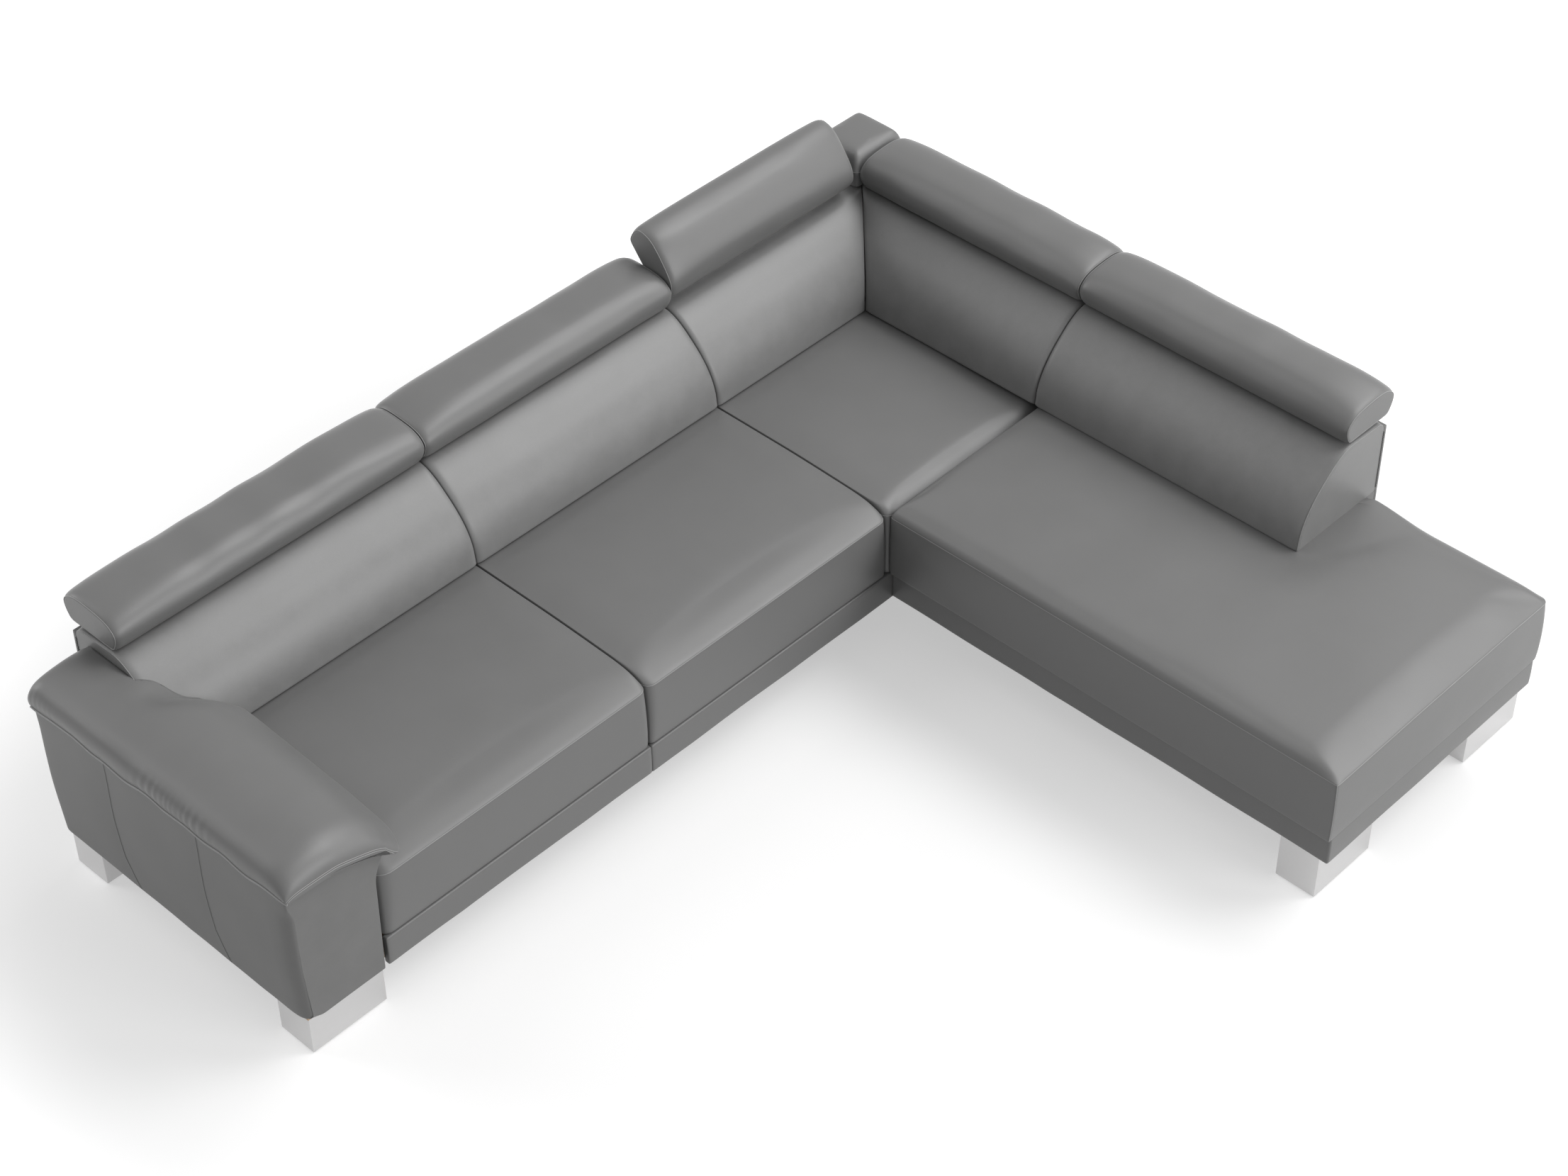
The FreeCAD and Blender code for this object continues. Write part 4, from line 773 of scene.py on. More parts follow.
@dataclass
class Padding:
    """One cushion that the shared cloth run blows out, held along its seams."""

    thing: bpy.types.Object
    free: np.ndarray
    reach: float

    def fill(self, pressure: float, frames: int) -> None:
        """Give the cushion its cloth and its filling.

        Args:
            pressure: The filling's pressure.
            frames: How long the cloth runs.
        """
        held = self.thing.vertex_groups.new(name="held")
        for index, value in enumerate(self.free):
            if value < 0.999:
                held.add([index], float(1 - value), "REPLACE")
        cloth = self.thing.modifiers.new("filling", "CLOTH")
        cloth.settings.quality = 4
        cloth.settings.mass = 0.4
        cloth.settings.tension_stiffness = 25
        cloth.settings.compression_stiffness = 20
        cloth.settings.shear_stiffness = 10
        cloth.settings.bending_stiffness = 2.0
        cloth.settings.air_damping = 3
        cloth.settings.use_pressure = True
        cloth.settings.uniform_pressure_force = pressure
        cloth.settings.effector_weights.gravity = 0
        cloth.settings.vertex_group_mass = "held"
        cloth.collision_settings.use_collision = False
        cloth.point_cache.frame_start = 1
        cloth.point_cache.frame_end = frames

    def keep(self, graph: bpy.types.Depsgraph) -> None:
        """Limit how far each vertex moved, keep the result and take the cloth off.

        Args:
            graph: The scene after the cloth run.
        """
        before = read_points(self.thing)
        blown = self.thing.evaluated_get(graph)
        after = np.zeros(len(blown.data.vertices) * 3)
        blown.data.vertices.foreach_get("co", after)
        moved = after.reshape(-1, 3) / MM - before
        far = np.linalg.norm(moved, axis=1)
        kept = self.reach * np.tanh(far / self.reach) / np.maximum(far, 1e-9)
        for modifier in list(self.thing.modifiers):
            if modifier.type == "CLOTH":
                self.thing.modifiers.remove(modifier)
        write_points(self.thing, before + moved * kept[:, None])
        LOG.info("filled %s, most moved %.1f mm", self.thing.name, float((far * kept).max()))


class UpholsteryShop:
    """Fills all cushions in one cloth run and sets the result."""

    frames: int = 20
    pressure: float = 3.0

    def __init__(self) -> None:
        """Start with no cushions."""
        self.jobs: list[Padding] = []

    def add(self, thing: bpy.types.Object, free: np.ndarray, reach: float) -> None:
        """Book a cushion.

        Args:
            thing: The cushion.
            free: For each vertex, 0 where it is held and 1 where it may move.
            reach: The farthest that a vertex may move, in millimetres.
        """
        self.jobs.append(Padding(thing, free, reach))

    def run(self) -> None:
        """Blow out all booked cushions, limit how far each vertex moves and keep the result."""
        if not self.jobs:
            return
        scene = bpy.context.scene
        for job in self.jobs:
            job.fill(self.pressure, self.frames)
        for number in range(1, self.frames + 1):
            scene.frame_set(number)
        graph = bpy.context.evaluated_depsgraph_get()
        for job in self.jobs:
            job.keep(graph)
        scene.frame_set(1)


SHOP = UpholsteryShop()


# Seats


@dataclass
class Seat:
    """A boxed seat cushion: sides, a sewn edge, a rolled top edge and a crowned top."""

    name: str
    x0: float
    x1: float
    y0: float
    y1: float
    nodes: tuple[str, ...]
    rolls: tuple[float, float, float, float] = (104.0, 3.0, 6.0, 3.0)
    bellies: tuple[float, float, float, float] = (4.0, 0.0, 0.0, 0.0)
    corner: tuple[float, float, float, float] = (20.0, 20.0, 4.0, 4.0)
    low: float = 223.4
    seam: float = 407.0
    top: float = 431.5
    rise: float = 7.6
    crown: float = 5.0
    flat_behind: float = -246.0
    flat_side: float = 1e9
    gap: float = 0.4
    foot: float = 3.6
    step: float = 16.0
    seed: float = 1.0
    roll_angles: tuple[float, ...] = (10, 22, 34, 46, 58, 70, 80, 88)
    slack: float = 3.5
    loop: np.ndarray = field(default_factory=lambda: np.zeros((0, 3)))
    corner_line: np.ndarray = field(default_factory=lambda: np.zeros((0, 3)))

    def levels(self) -> list[tuple[float, float, float, float]]:
        """Heights of the rings.

        Returns:
            For each ring its height, its share of the bottom roll, of the belly and of the top roll.
        """
        found = []
        for angle in (0, 30, 60, 90):
            t = math.radians(angle)
            found.append((self.low + self.foot * (1 - math.cos(t)), 1 - math.sin(t), 0.0, 0.0))
        start = self.low + self.foot
        for share in np.linspace(0, 1, 10)[1:-1]:
            z = start + (self.seam - 5 - start) * share
            found.append((z, 0.0, math.sin(math.pi * min(1.0, share * 0.97 + 0.03)) ** 0.8, 0.0))
        found.append((self.seam - 4.5, 0.0, 0.04, 0.0))
        found.append((self.seam - 2.0, 0.1, 0.0, 0.0))
        found.append((self.seam, 0.3, 0.0, 0.0))
        found.append((self.seam + 2.0, 0.1, 0.0, 0.0))
        rise = self.top - self.seam - 2
        for angle in self.roll_angles:
            t = math.radians(angle)
            found.append((self.seam + 2 + rise * math.sin(t), 0.0, 0.0, 1 - math.cos(t)))
        return found

    def ring(self, level: tuple[float, float, float, float], spans: Sequence[np.ndarray]) -> np.ndarray:
        """Points round the cushion at one height.

        Args:
            level: The height and the shares of each roll.
            spans: Shares of the four sides.

        Returns:
            The points.
        """
        z, low_share, belly, roll = level
        foot = self.gap + low_share * self.foot
        insets = [foot - belly * self.bellies[i] + roll * self.rolls[i] for i in range(4)]
        x0, x1 = self.x0 + insets[3], self.x1 - insets[1]
        y0, y1 = self.y0 + insets[0], self.y1 - insets[2]
        corners = [(x0, y0), (x1, y0), (x1, y1), (x0, y1)]
        flat = box_ring(corners, spans)
        height = (z - self.low) / (self.top - self.low)
        for i, (cx, cy) in enumerate(corners):
            radius = self.corner[i] * (0.7 + 0.6 * height) + roll * 10
            inner_x = cx + radius * (1 if cx == x0 else -1)
            inner_y = cy + radius * (1 if cy == y0 else -1)
            beyond_x = (inner_x - flat[:, 0]) * (1 if cx == x0 else -1)
            beyond_y = (inner_y - flat[:, 1]) * (1 if cy == y0 else -1)
            inside = (beyond_x > 0) & (beyond_y > 0)
            away = np.c_[flat[:, 0] - inner_x, flat[:, 1] - inner_y]
            size = np.linalg.norm(away, axis=1) + 1e-9
            flat[inside] = (np.array([inner_x, inner_y]) + away / size[:, None] * radius)[inside]
        return np.c_[flat, np.full(len(flat), z)]

    def lift(self, points: np.ndarray) -> np.ndarray:
        """The rise to the rear, the crown and a slight unevenness of the top.

        Args:
            points: Vertices in millimetres.

        Returns:
            How far each goes up.
        """
        x, y, z = points[:, 0], points[:, 1], points[:, 2]
        share = ease_all((z - self.seam + 30) / (self.top - self.seam + 30))
        back = min(self.y1, self.flat_behind)
        along = np.clip((y - self.y0) / (back - self.y0), 0, 1)
        side_end = min(self.x1, self.flat_side)
        across = np.clip((x - self.x0) / (side_end - self.x0), 0, 1)
        rise = self.rise * ease_all(along * 1.6)
        hump = (1 - np.abs(2 * along - 1) ** 3.5) * (1 - np.abs(2 * across - 1) ** 9)
        uneven = wobble(np.c_[x, y, z * 0], 190.0, 0.7, self.seed)
        return share * (rise + self.crown * hump + uneven * hump)

    def side_shares(self) -> np.ndarray:
        """Return the places along the sides, from the front to the rear."""
        return shares(self.y1 - self.y0, self.step)

    def build(self) -> bpy.types.Object:
        """Return the cushion, filled and dressed."""
        spans_x = shares(self.x1 - self.x0, self.step)
        spans_y = self.side_shares()
        spans = [spans_x, spans_y, spans_x, 1 - spans_y[::-1]]
        rings = np.array([self.ring(level, spans) for level in self.levels()])
        across, along = len(spans_x) - 1, len(spans_y) - 1
        skin = Skin(self.name, rings, across, along)
        made = skin.build()
        points = self.fitted(read_points(made))
        write_points(made, points)
        count = rings.shape[1]
        seam_ring = len(self.levels()) - len(self.roll_angles) - 2
        self.loop = points[seam_ring * count : (seam_ring + 1) * count]
        self.corner_line = points[3 * count : (seam_ring + 1) * count : count]
        z = points[:, 2]
        free = ease_all((z - self.seam - 3) / 10)
        behind = np.clip((self.flat_behind - 8 - points[:, 1]) / 30, 0, 1)
        aside = np.clip((self.flat_side - 8 - points[:, 0]) / 30, 0, 1)
        sides = np.minimum(points[:, 0] - self.x0, self.x1 - points[:, 0])
        free = free * behind * aside * np.clip((sides - 6) / 20, 0, 1)
        SHOP.add(made, free, self.slack)
        finish_piece(made, SEAT_LEATHER)
        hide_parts(*self.nodes)
        LOG.info("made %s", self.name)
        return made

    def rolled(self, points: np.ndarray) -> np.ndarray:
        """Heights of the upholstered top, whose rolls run straight on into the corners.

        Args:
            points: Vertices in millimetres.

        Returns:
            The new height of each one above the seam, and the old height of the others.
        """
        x, y, z = points[:, 0], points[:, 1], points[:, 2]
        reach = [y - self.y0, self.x1 - x, self.y1 - y, x - self.x0]
        away = [side - self.gap for side in reach]
        clear = [side.copy() for side in away]
        for i in range(4):
            near, radius = (i + 3) % 4, self.corner[i] * 1.23
            for one, other in ((i, near), (near, i)):
                short = radius - np.sqrt(np.maximum(0, radius**2 - np.maximum(0, radius - away[other]) ** 2))
                clear[one] = np.minimum(clear[one], away[one] - short)
        share = np.ones(len(points))
        for number, side in enumerate(clear):
            share *= self.profile(number, side, points)
        start = self.seam + 2.0
        return np.where(z > start + 0.01, start + (self.top - start) * share, z)

    def profile(self, number: int, side: np.ndarray, points: np.ndarray) -> np.ndarray:
        """Height shares of one side's roll: a long easing one, or a close round one.

        Args:
            number: The side: 0 front, 1 right, 2 rear, 3 left.
            side: The distance of each vertex from that side.
            points: The vertices, not used by this plain roll.

        Returns:
            The share of the full height at each vertex.
        """
        left = 1 - np.clip(side / self.rolls[number], 0, 1)
        if self.rolls[number] > 20:
            return 1 - left**3
        return np.sqrt(np.maximum(0, 1 - left**2))

    def fitted(self, points: np.ndarray) -> np.ndarray:
        """Return the vertices with the rolls and the lift of the top."""
        points = points.copy()
        points[:, 2] = self.rolled(points)
        points[:, 2] += self.lift(points)
        return points

    def seams(self) -> None:
        """Lay the fine bead in the sewn edge round the top, lighter than the leather as a painted highlight.
        """
        centre = self.loop.mean(axis=0)
        away = self.loop - centre
        away[:, 2] = 0
        away /= np.linalg.norm(away, axis=1)[:, None]
        bead = tube(self.name + "_seam", self.loop + away * 0.35, EDGE_BEAD, True)
        finish_piece(bead, PAINTED_HIGHLIGHT_WELT)


@dataclass
class Chaise(Seat):
    """The long cushion, whose outer rear part steps in beside the end back."""

    step_y: float = -1649.5
    step_in: float = 31.0
    back_line: float = -209.0
    tight_roll: float = 7.0
    corner_bead: float = 1.0
    opening: float = 220.0

    def profile(self, number: int, side: np.ndarray, points: np.ndarray) -> np.ndarray:
        """Height shares of one side's roll, where the outer one tightens beside the end back.

        Args:
            number: The side: 0 front, 1 right, 2 rear, 3 left.
            side: The distance of each vertex from that side.
            points: The vertices.

        Returns:
            The share of the full height at each vertex.
        """
        share = super().profile(number, side, points)
        if number != 1:
            return share
        close = np.sqrt(np.maximum(0, 1 - (1 - np.clip(side / self.tight_roll, 0, 1)) ** 2))
        near = ease_all((points[:, 1] - self.step_y + 190) / 180)
        return share + (close - share) * near

    def side_shares(self) -> np.ndarray:
        """Return the places along the sides, with closer ones at the step."""
        even = shares(self.y1 - self.y0, self.step)
        step = (self.step_y - self.y0) / (self.y1 - self.y0)
        close = step + np.array([-9.0, -4.5, -2.0, -0.4, 0.4, 4.0, 9.0]) / (self.y1 - self.y0)
        away = even[np.abs(even - step) > 13 / (self.y1 - self.y0)]
        return np.sort(np.r_[away, close])

    def seams(self) -> None:
        """Lay the bead round the top and sew the tight front corner, both beads lighter than the leather as a
        painted highlight.
        """
        super().seams()
        line = self.corner_line - np.array([0.3, 0.3, 0.0])
        bead = tube(self.name + "_corner_seam", line, self.corner_bead, False)
        finish_piece(bead, PAINTED_HIGHLIGHT_WELT)

    def fitted(self, points: np.ndarray) -> np.ndarray:
        """Return the vertices with the rolls and the lift, and the outer side stepped in."""
        points = super().fitted(points)
        beside = ease_all((points[:, 1] - self.step_y + 0.4) / 0.8)
        outer = np.clip((points[:, 0] - self.back_line) / (self.x1 - self.back_line), 0, 1)
        points[:, 0] -= beside * outer * self.step_in
        return points

    def lift(self, points: np.ndarray) -> np.ndarray:
        """The rise towards the back, a crown over the free part and flat leather below the back.

        Args:
            points: Vertices in millimetres.

        Returns:
            How far each goes up.
        """
        x, y, z = points[:, 0], points[:, 1], points[:, 2]
        share = ease_all((z - self.seam + 30) / (self.top - self.seam + 30))
        open_end = ease_all((self.step_y - 2 - y) / self.opening)
        reach = self.back_line + (self.x1 - self.back_line) * open_end
        across = np.clip((x - self.x0) / (reach - self.x0), 0, 1)
        along = np.clip((y - self.y0) / (self.y1 - self.y0), 0, 1)
        rise = self.rise * ease_all((x - self.x0) / 380.0)
        rise = rise - open_end * self.rise * 0.6 * ease_all((x + 60) / 140.0)
        hump = (1 - np.abs(2 * across - 1) ** 3.5) * (1 - np.abs(2 * along - 1) ** 5)
        uneven = wobble(np.c_[x, y, z * 0], 240.0, 2.2, self.seed)
        return share * (rise + self.crown * hump + uneven * hump)


# Backs


@dataclass(frozen=True)
class Run:
    """Where a lofted piece goes: along the rear of the run, or along the chaise side."""

    start: float
    side: bool = False
    x_right: float = 138.5
    y_rear: float = 86.0

    def place(self, along: np.ndarray, depth: np.ndarray, height: np.ndarray) -> np.ndarray:
        """Points in the part's frame.

        Args:
            along: Distances from the piece's start.
            depth: Places in front of the rear plane, which are negative.
            height: Heights above the floor.

        Returns:
            The points.
        """
        if self.side:
            return np.c_[self.x_right + depth, self.start - along, height]
        return np.c_[self.start + along, self.y_rear + depth, height]


BACK_SECTION = Section(
    (
        Corner(-333, 440.4, 7),
        Corner(-325, 508, 60),
        Corner(-286, 577, 62),
        Corner(-207, 647, 40),
        Corner(-161, 668, 26),
        Corner(-27, 661, 15),
        Corner(-13, 644, 12),
        Corner(-13, 440.4, 4),
    ),
    (0, 4, 5, 7),
)


@dataclass
class Back:
    """A back cushion lofted along its length, with drawn-in ends or a mitre where two meet."""

    number: int
    run: Run
    width: float
    mitre_end: bool = False
    mitre_start: bool = False
    panel_start: bool = False
    panel_end: bool = False
    roll: float = 20.0
    draw: float = 8.0
    mitre_draw: float = 4.0
    panel_draw: float = 6.0
    gap: float = 0.5
    bottom: float = 440.4
    ladder_thread: float = 0.7
    step: float = 15.0
    slack: float = 4.0
    finish: LeatherFinish = BACK_LEATHER
    seed: float = 1.0

    def stations(self) -> list[tuple[float, float]]:
        """Return pairs of a share of the length and how far the section is drawn in there."""
        found = []
        edge = [0, 1.2, 3.2, 6.5, 10.5, 15]
        start_draw = self.end_draw(self.mitre_start, self.panel_start)
        end_draw = self.end_draw(self.mitre_end, self.panel_end)
        for distance in edge:
            found.append((distance / self.width, start_draw * round_off(distance, self.roll)))
        middle = max(4, int((self.width - 2 * self.roll) / self.step))
        for distance in np.linspace(self.roll, self.width - self.roll, middle):
            found.append((distance / self.width, 0.0))
        for distance in reversed(edge):
            found.append((1 - distance / self.width, end_draw * round_off(distance, self.roll)))
        return found

    def end_draw(self, mitre: bool, panel: bool) -> float:
        """Return how far an end is drawn in: a mitre, a sewn panel or a plain end."""
        if mitre:
            return self.mitre_draw
        return self.panel_draw if panel else self.draw

    def ends(self, depth: np.ndarray) -> tuple[np.ndarray, np.ndarray]:
        """Where the piece starts and ends at each depth.

        Args:
            depth: Places in front of the rear plane.

        Returns:
            The first and last distance along the run.
        """
        first = np.full(len(depth), self.gap)
        last = np.full(len(depth), self.width - self.gap)
        if self.mitre_end:
            last = self.width + depth - 0.9
        if self.mitre_start:
            first = -depth + 0.9
        return first, last

    def build(self) -> bpy.types.Object:
        """Return the back, filled and dressed."""
        lengths = BACK_SECTION.lengths()
        spans_a = shares(lengths[0], 13, (5, 11, 18))
        spans_b = shares(lengths[1], 14, (5, 11))
        spans = [spans_a, spans_b, spans_a, spans_b]
        flat = BACK_SECTION.ring(spans)
        rings = []
        for share, draw in self.stations():
            ring = drawn_in(flat, draw)
            held = 1 - ease_all((-flat[:, 0] - 13) / 26)
            ring[:, 0] += (flat[:, 0] - 0.4 - ring[:, 0]) * held
            held = 1 - ease_all((flat[:, 1] - 441) / 25)
            ring[:, 1] += (flat[:, 1] - ring[:, 1]) * held
            ring[:, 1] = np.maximum(ring[:, 1], self.bottom)
            first, last = self.ends(ring[:, 0])
            rings.append(self.run.place(first + (last - first) * share, ring[:, 0], ring[:, 1]))
        skin = Skin("back_%d_cushion" % self.number, np.array(rings), len(spans_a) - 1, len(spans_b) - 1)
        made = skin.build()
        points = read_points(made)
        depth = points[:, 0] - self.run.x_right if self.run.side else points[:, 1] - self.run.y_rear
        front = ease_all((-150 - depth) / 60) * ease_all((points[:, 2] - 455) / 40)
        uneven = wobble(points * np.array([1, 1, 1.4]), 170.0, 1.8, self.seed + self.number)
        if self.run.side:
            points[:, 0] -= front * uneven
        else:
            points[:, 1] -= front * uneven
        write_points(made, points)
        along = self.run.start - points[:, 1] if self.run.side else points[:, 0] - self.run.start
        first, last = self.ends(depth)
        near_end = np.minimum(along - first, last - along)
        free = ease_all((near_end - 8) / 40) * front * ease_all((650 - points[:, 2]) / 60)
        SHOP.add(made, free, self.slack)
        finish_piece(made, self.finish)
        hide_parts("back_%d_cover" % self.number, "back_cores")
        self.end_seams(np.array(rings))
        LOG.info("made back %d", self.number)
        return made

    def end_seams(self, rings: np.ndarray) -> None:
        """Lay beads round the ends where the front leather meets a side panel, and stitch them. The beads are
        lighter than the leather, a painted highlight.

        Args:
            rings: The rings of the cushion, from its start to its end.
        """
        for flag, index, label in ((self.panel_start, 1, "start"), (self.panel_end, -2, "end")):
            if not flag:
                continue
            name = "back_%d_%s" % (self.number, label)
            loop = rings[index].copy()
            bead = tube(name + "_seam", loop, END_BEAD, True)
            finish_piece(bead, PAINTED_HIGHLIGHT_WELT)
            outward = np.array([0.0, -1.0, 0.0]) if self.run.side else np.array([-1.0, 0.0, 0.0])
            cap = rings[0 if label == "start" else -1]
            middle = cap.mean(axis=0)
            away = cap - middle
            inner = middle + away * (1 - 6.0 / np.linalg.norm(away, axis=1)[:, None])
            front = inner[: len(inner) // 2 - 6]
            facing = np.tile(outward, (len(front), 1))
            row = stitches(name + "_stitches", front, facing, pitch=5.0, length=3.2, radius=0.45)
            finish_piece(row, THREAD)
            self.ladder(name)

    def ladder(self, name: str) -> None:
        """Sew the end panel to the rear cover with a dark zigzag thread.

        Args:
            name: The start of the thread's name.
        """
        heights = np.arange(452.0, 632.0, 4.0)
        along = -0.2 if self.panel_start else self.width + 0.2
        depth = np.where(np.arange(len(heights)) % 2 == 0, -14.6, -10.0)
        path = self.run.place(np.full(len(heights), along), depth, heights)
        thread = tube(name + "_ladder", path, self.ladder_thread, False, sides=6)
        finish_piece(thread, DARK_THREAD)


# Headrests


HEADREST_SECTION = Section(
    (
        Corner(-10, -50.5, 13),
        Corner(-27, -16, 24),
        Corner(-25, 12, 28),
        Corner(8, 42, 44),
        Corner(127, 50, 62),
        Corner(172, 21, 34),
        Corner(176, -13, 26),
        Corner(156, -50.5, 16),
    ),
    (0, 3, 4, 7),
)


@dataclass
class Headrest:
    """A tilting headrest: a filled sleeve between two sewn end panels."""

    number: int
    run: Run
    width: float
    tilt: float = 0.0
    hinge_depth: float = 153.0
    hinge_height: float = 722.0
    roll: float = 20.0
    draw: float = 9.0
    gap: float = 1.4
    step: float = 14.0
    crown: float = 6.5
    slack: float = 3.0
    seed: float = 1.0

    def place(self, along: np.ndarray, ring: np.ndarray) -> np.ndarray:
        """Points of a section turned about the hinge axis.

        Args:
            along: Distances from the start.
            ring: The section's points about the axis.

        Returns:
            The points in the part's frame.
        """
        turn = math.radians(self.tilt)
        depth = ring[:, 0] * math.cos(turn) - ring[:, 1] * math.sin(turn)
        height = ring[:, 0] * math.sin(turn) + ring[:, 1] * math.cos(turn)
        return self.run.place(along, depth - self.hinge_depth, height + self.hinge_height)

    def build(self) -> bpy.types.Object:
        """Return the headrest, filled and dressed."""
        lengths = HEADREST_SECTION.lengths()
        spans_a = shares(lengths[0], 10, (4, 9))
        spans_b = shares(lengths[1], 11, (4, 9))
        flat = HEADREST_SECTION.ring([spans_a, spans_b, spans_a, spans_b])
        edge = [0, 1.2, 3.2, 6.5, 11]
        first, last = self.gap, self.width - self.gap
        places = [(first + d, d) for d in edge]
        middle = int((self.width - 2 * self.roll) / self.step)
        places += [(p, self.roll) for p in np.linspace(self.roll, self.width - self.roll, middle)]
        places += [(last - d, d) for d in reversed(edge)]
        rings = []
        flat_rings = []
        for along, inside in places:
            ring = drawn_in(flat, self.draw * round_off(inside, self.roll))
            near = min(along, self.width - along)
            sag = 1 - math.exp(-max(0.0, near) / 55.0)
            top = ease_all((ring[:, 1] + 6) / 46)
            rear = ease_all((ring[:, 0] - 100) / 60)
            wave = wobble(np.array([[along, self.seed * 400, 0.0]]), 115.0, 4.2, self.seed)[0]
            ring[:, 1] += top * (wave * sag + self.crown * sag - 5.5 * (1 - sag))
            ring[:, 0] -= rear * 5.0 * (1 - sag)
            nose = ease_all((-ring[:, 0] + 20) / 40)
            ring[:, 0] -= nose * wobble(np.array([[along, self.seed * 90, 9.0]]), 90.0, 1.6, self.seed)[0]
            flat_rings.append(ring)
            rings.append(self.place(np.full(len(ring), along), ring))
        name = "headrest_%d_cushion" % self.number
        made = Skin(name, np.array(rings), len(spans_a) - 1, len(spans_b) - 1).build()
        body = "headrest_%d" % self.number
        points = read_points(made)
        along = self.run.start - points[:, 1] if self.run.side else points[:, 0] - self.run.start
        near_end = np.minimum(along, self.width - along)
        local = np.vstack(flat_rings)
        free = np.zeros(len(points))
        free[: len(local)] = ease_all((local[:, 1] + 20) / 30) * ease_all((near_end[: len(local)] - 8) / 40)
        SHOP.add(made, free, self.slack)
        finish_piece(made, SEAT_LEATHER, body)
        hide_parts("%s_cover" % body, "%s_core" % body)
        for index, label in ((1, "start"), (-2, "end")):
            loop = drawn_in(flat_rings[index], -0.2)
            path = self.place(np.full(len(loop), places[index][0]), loop)
            # The end beads are lighter than the leather, a painted highlight.
            bead = tube("%s_seam_%s" % (body, label), path, END_BEAD, True)
            finish_piece(bead, PAINTED_HIGHLIGHT_WELT, body)
        LOG.info("made headrest %d", self.number)
        return made


# Armrest


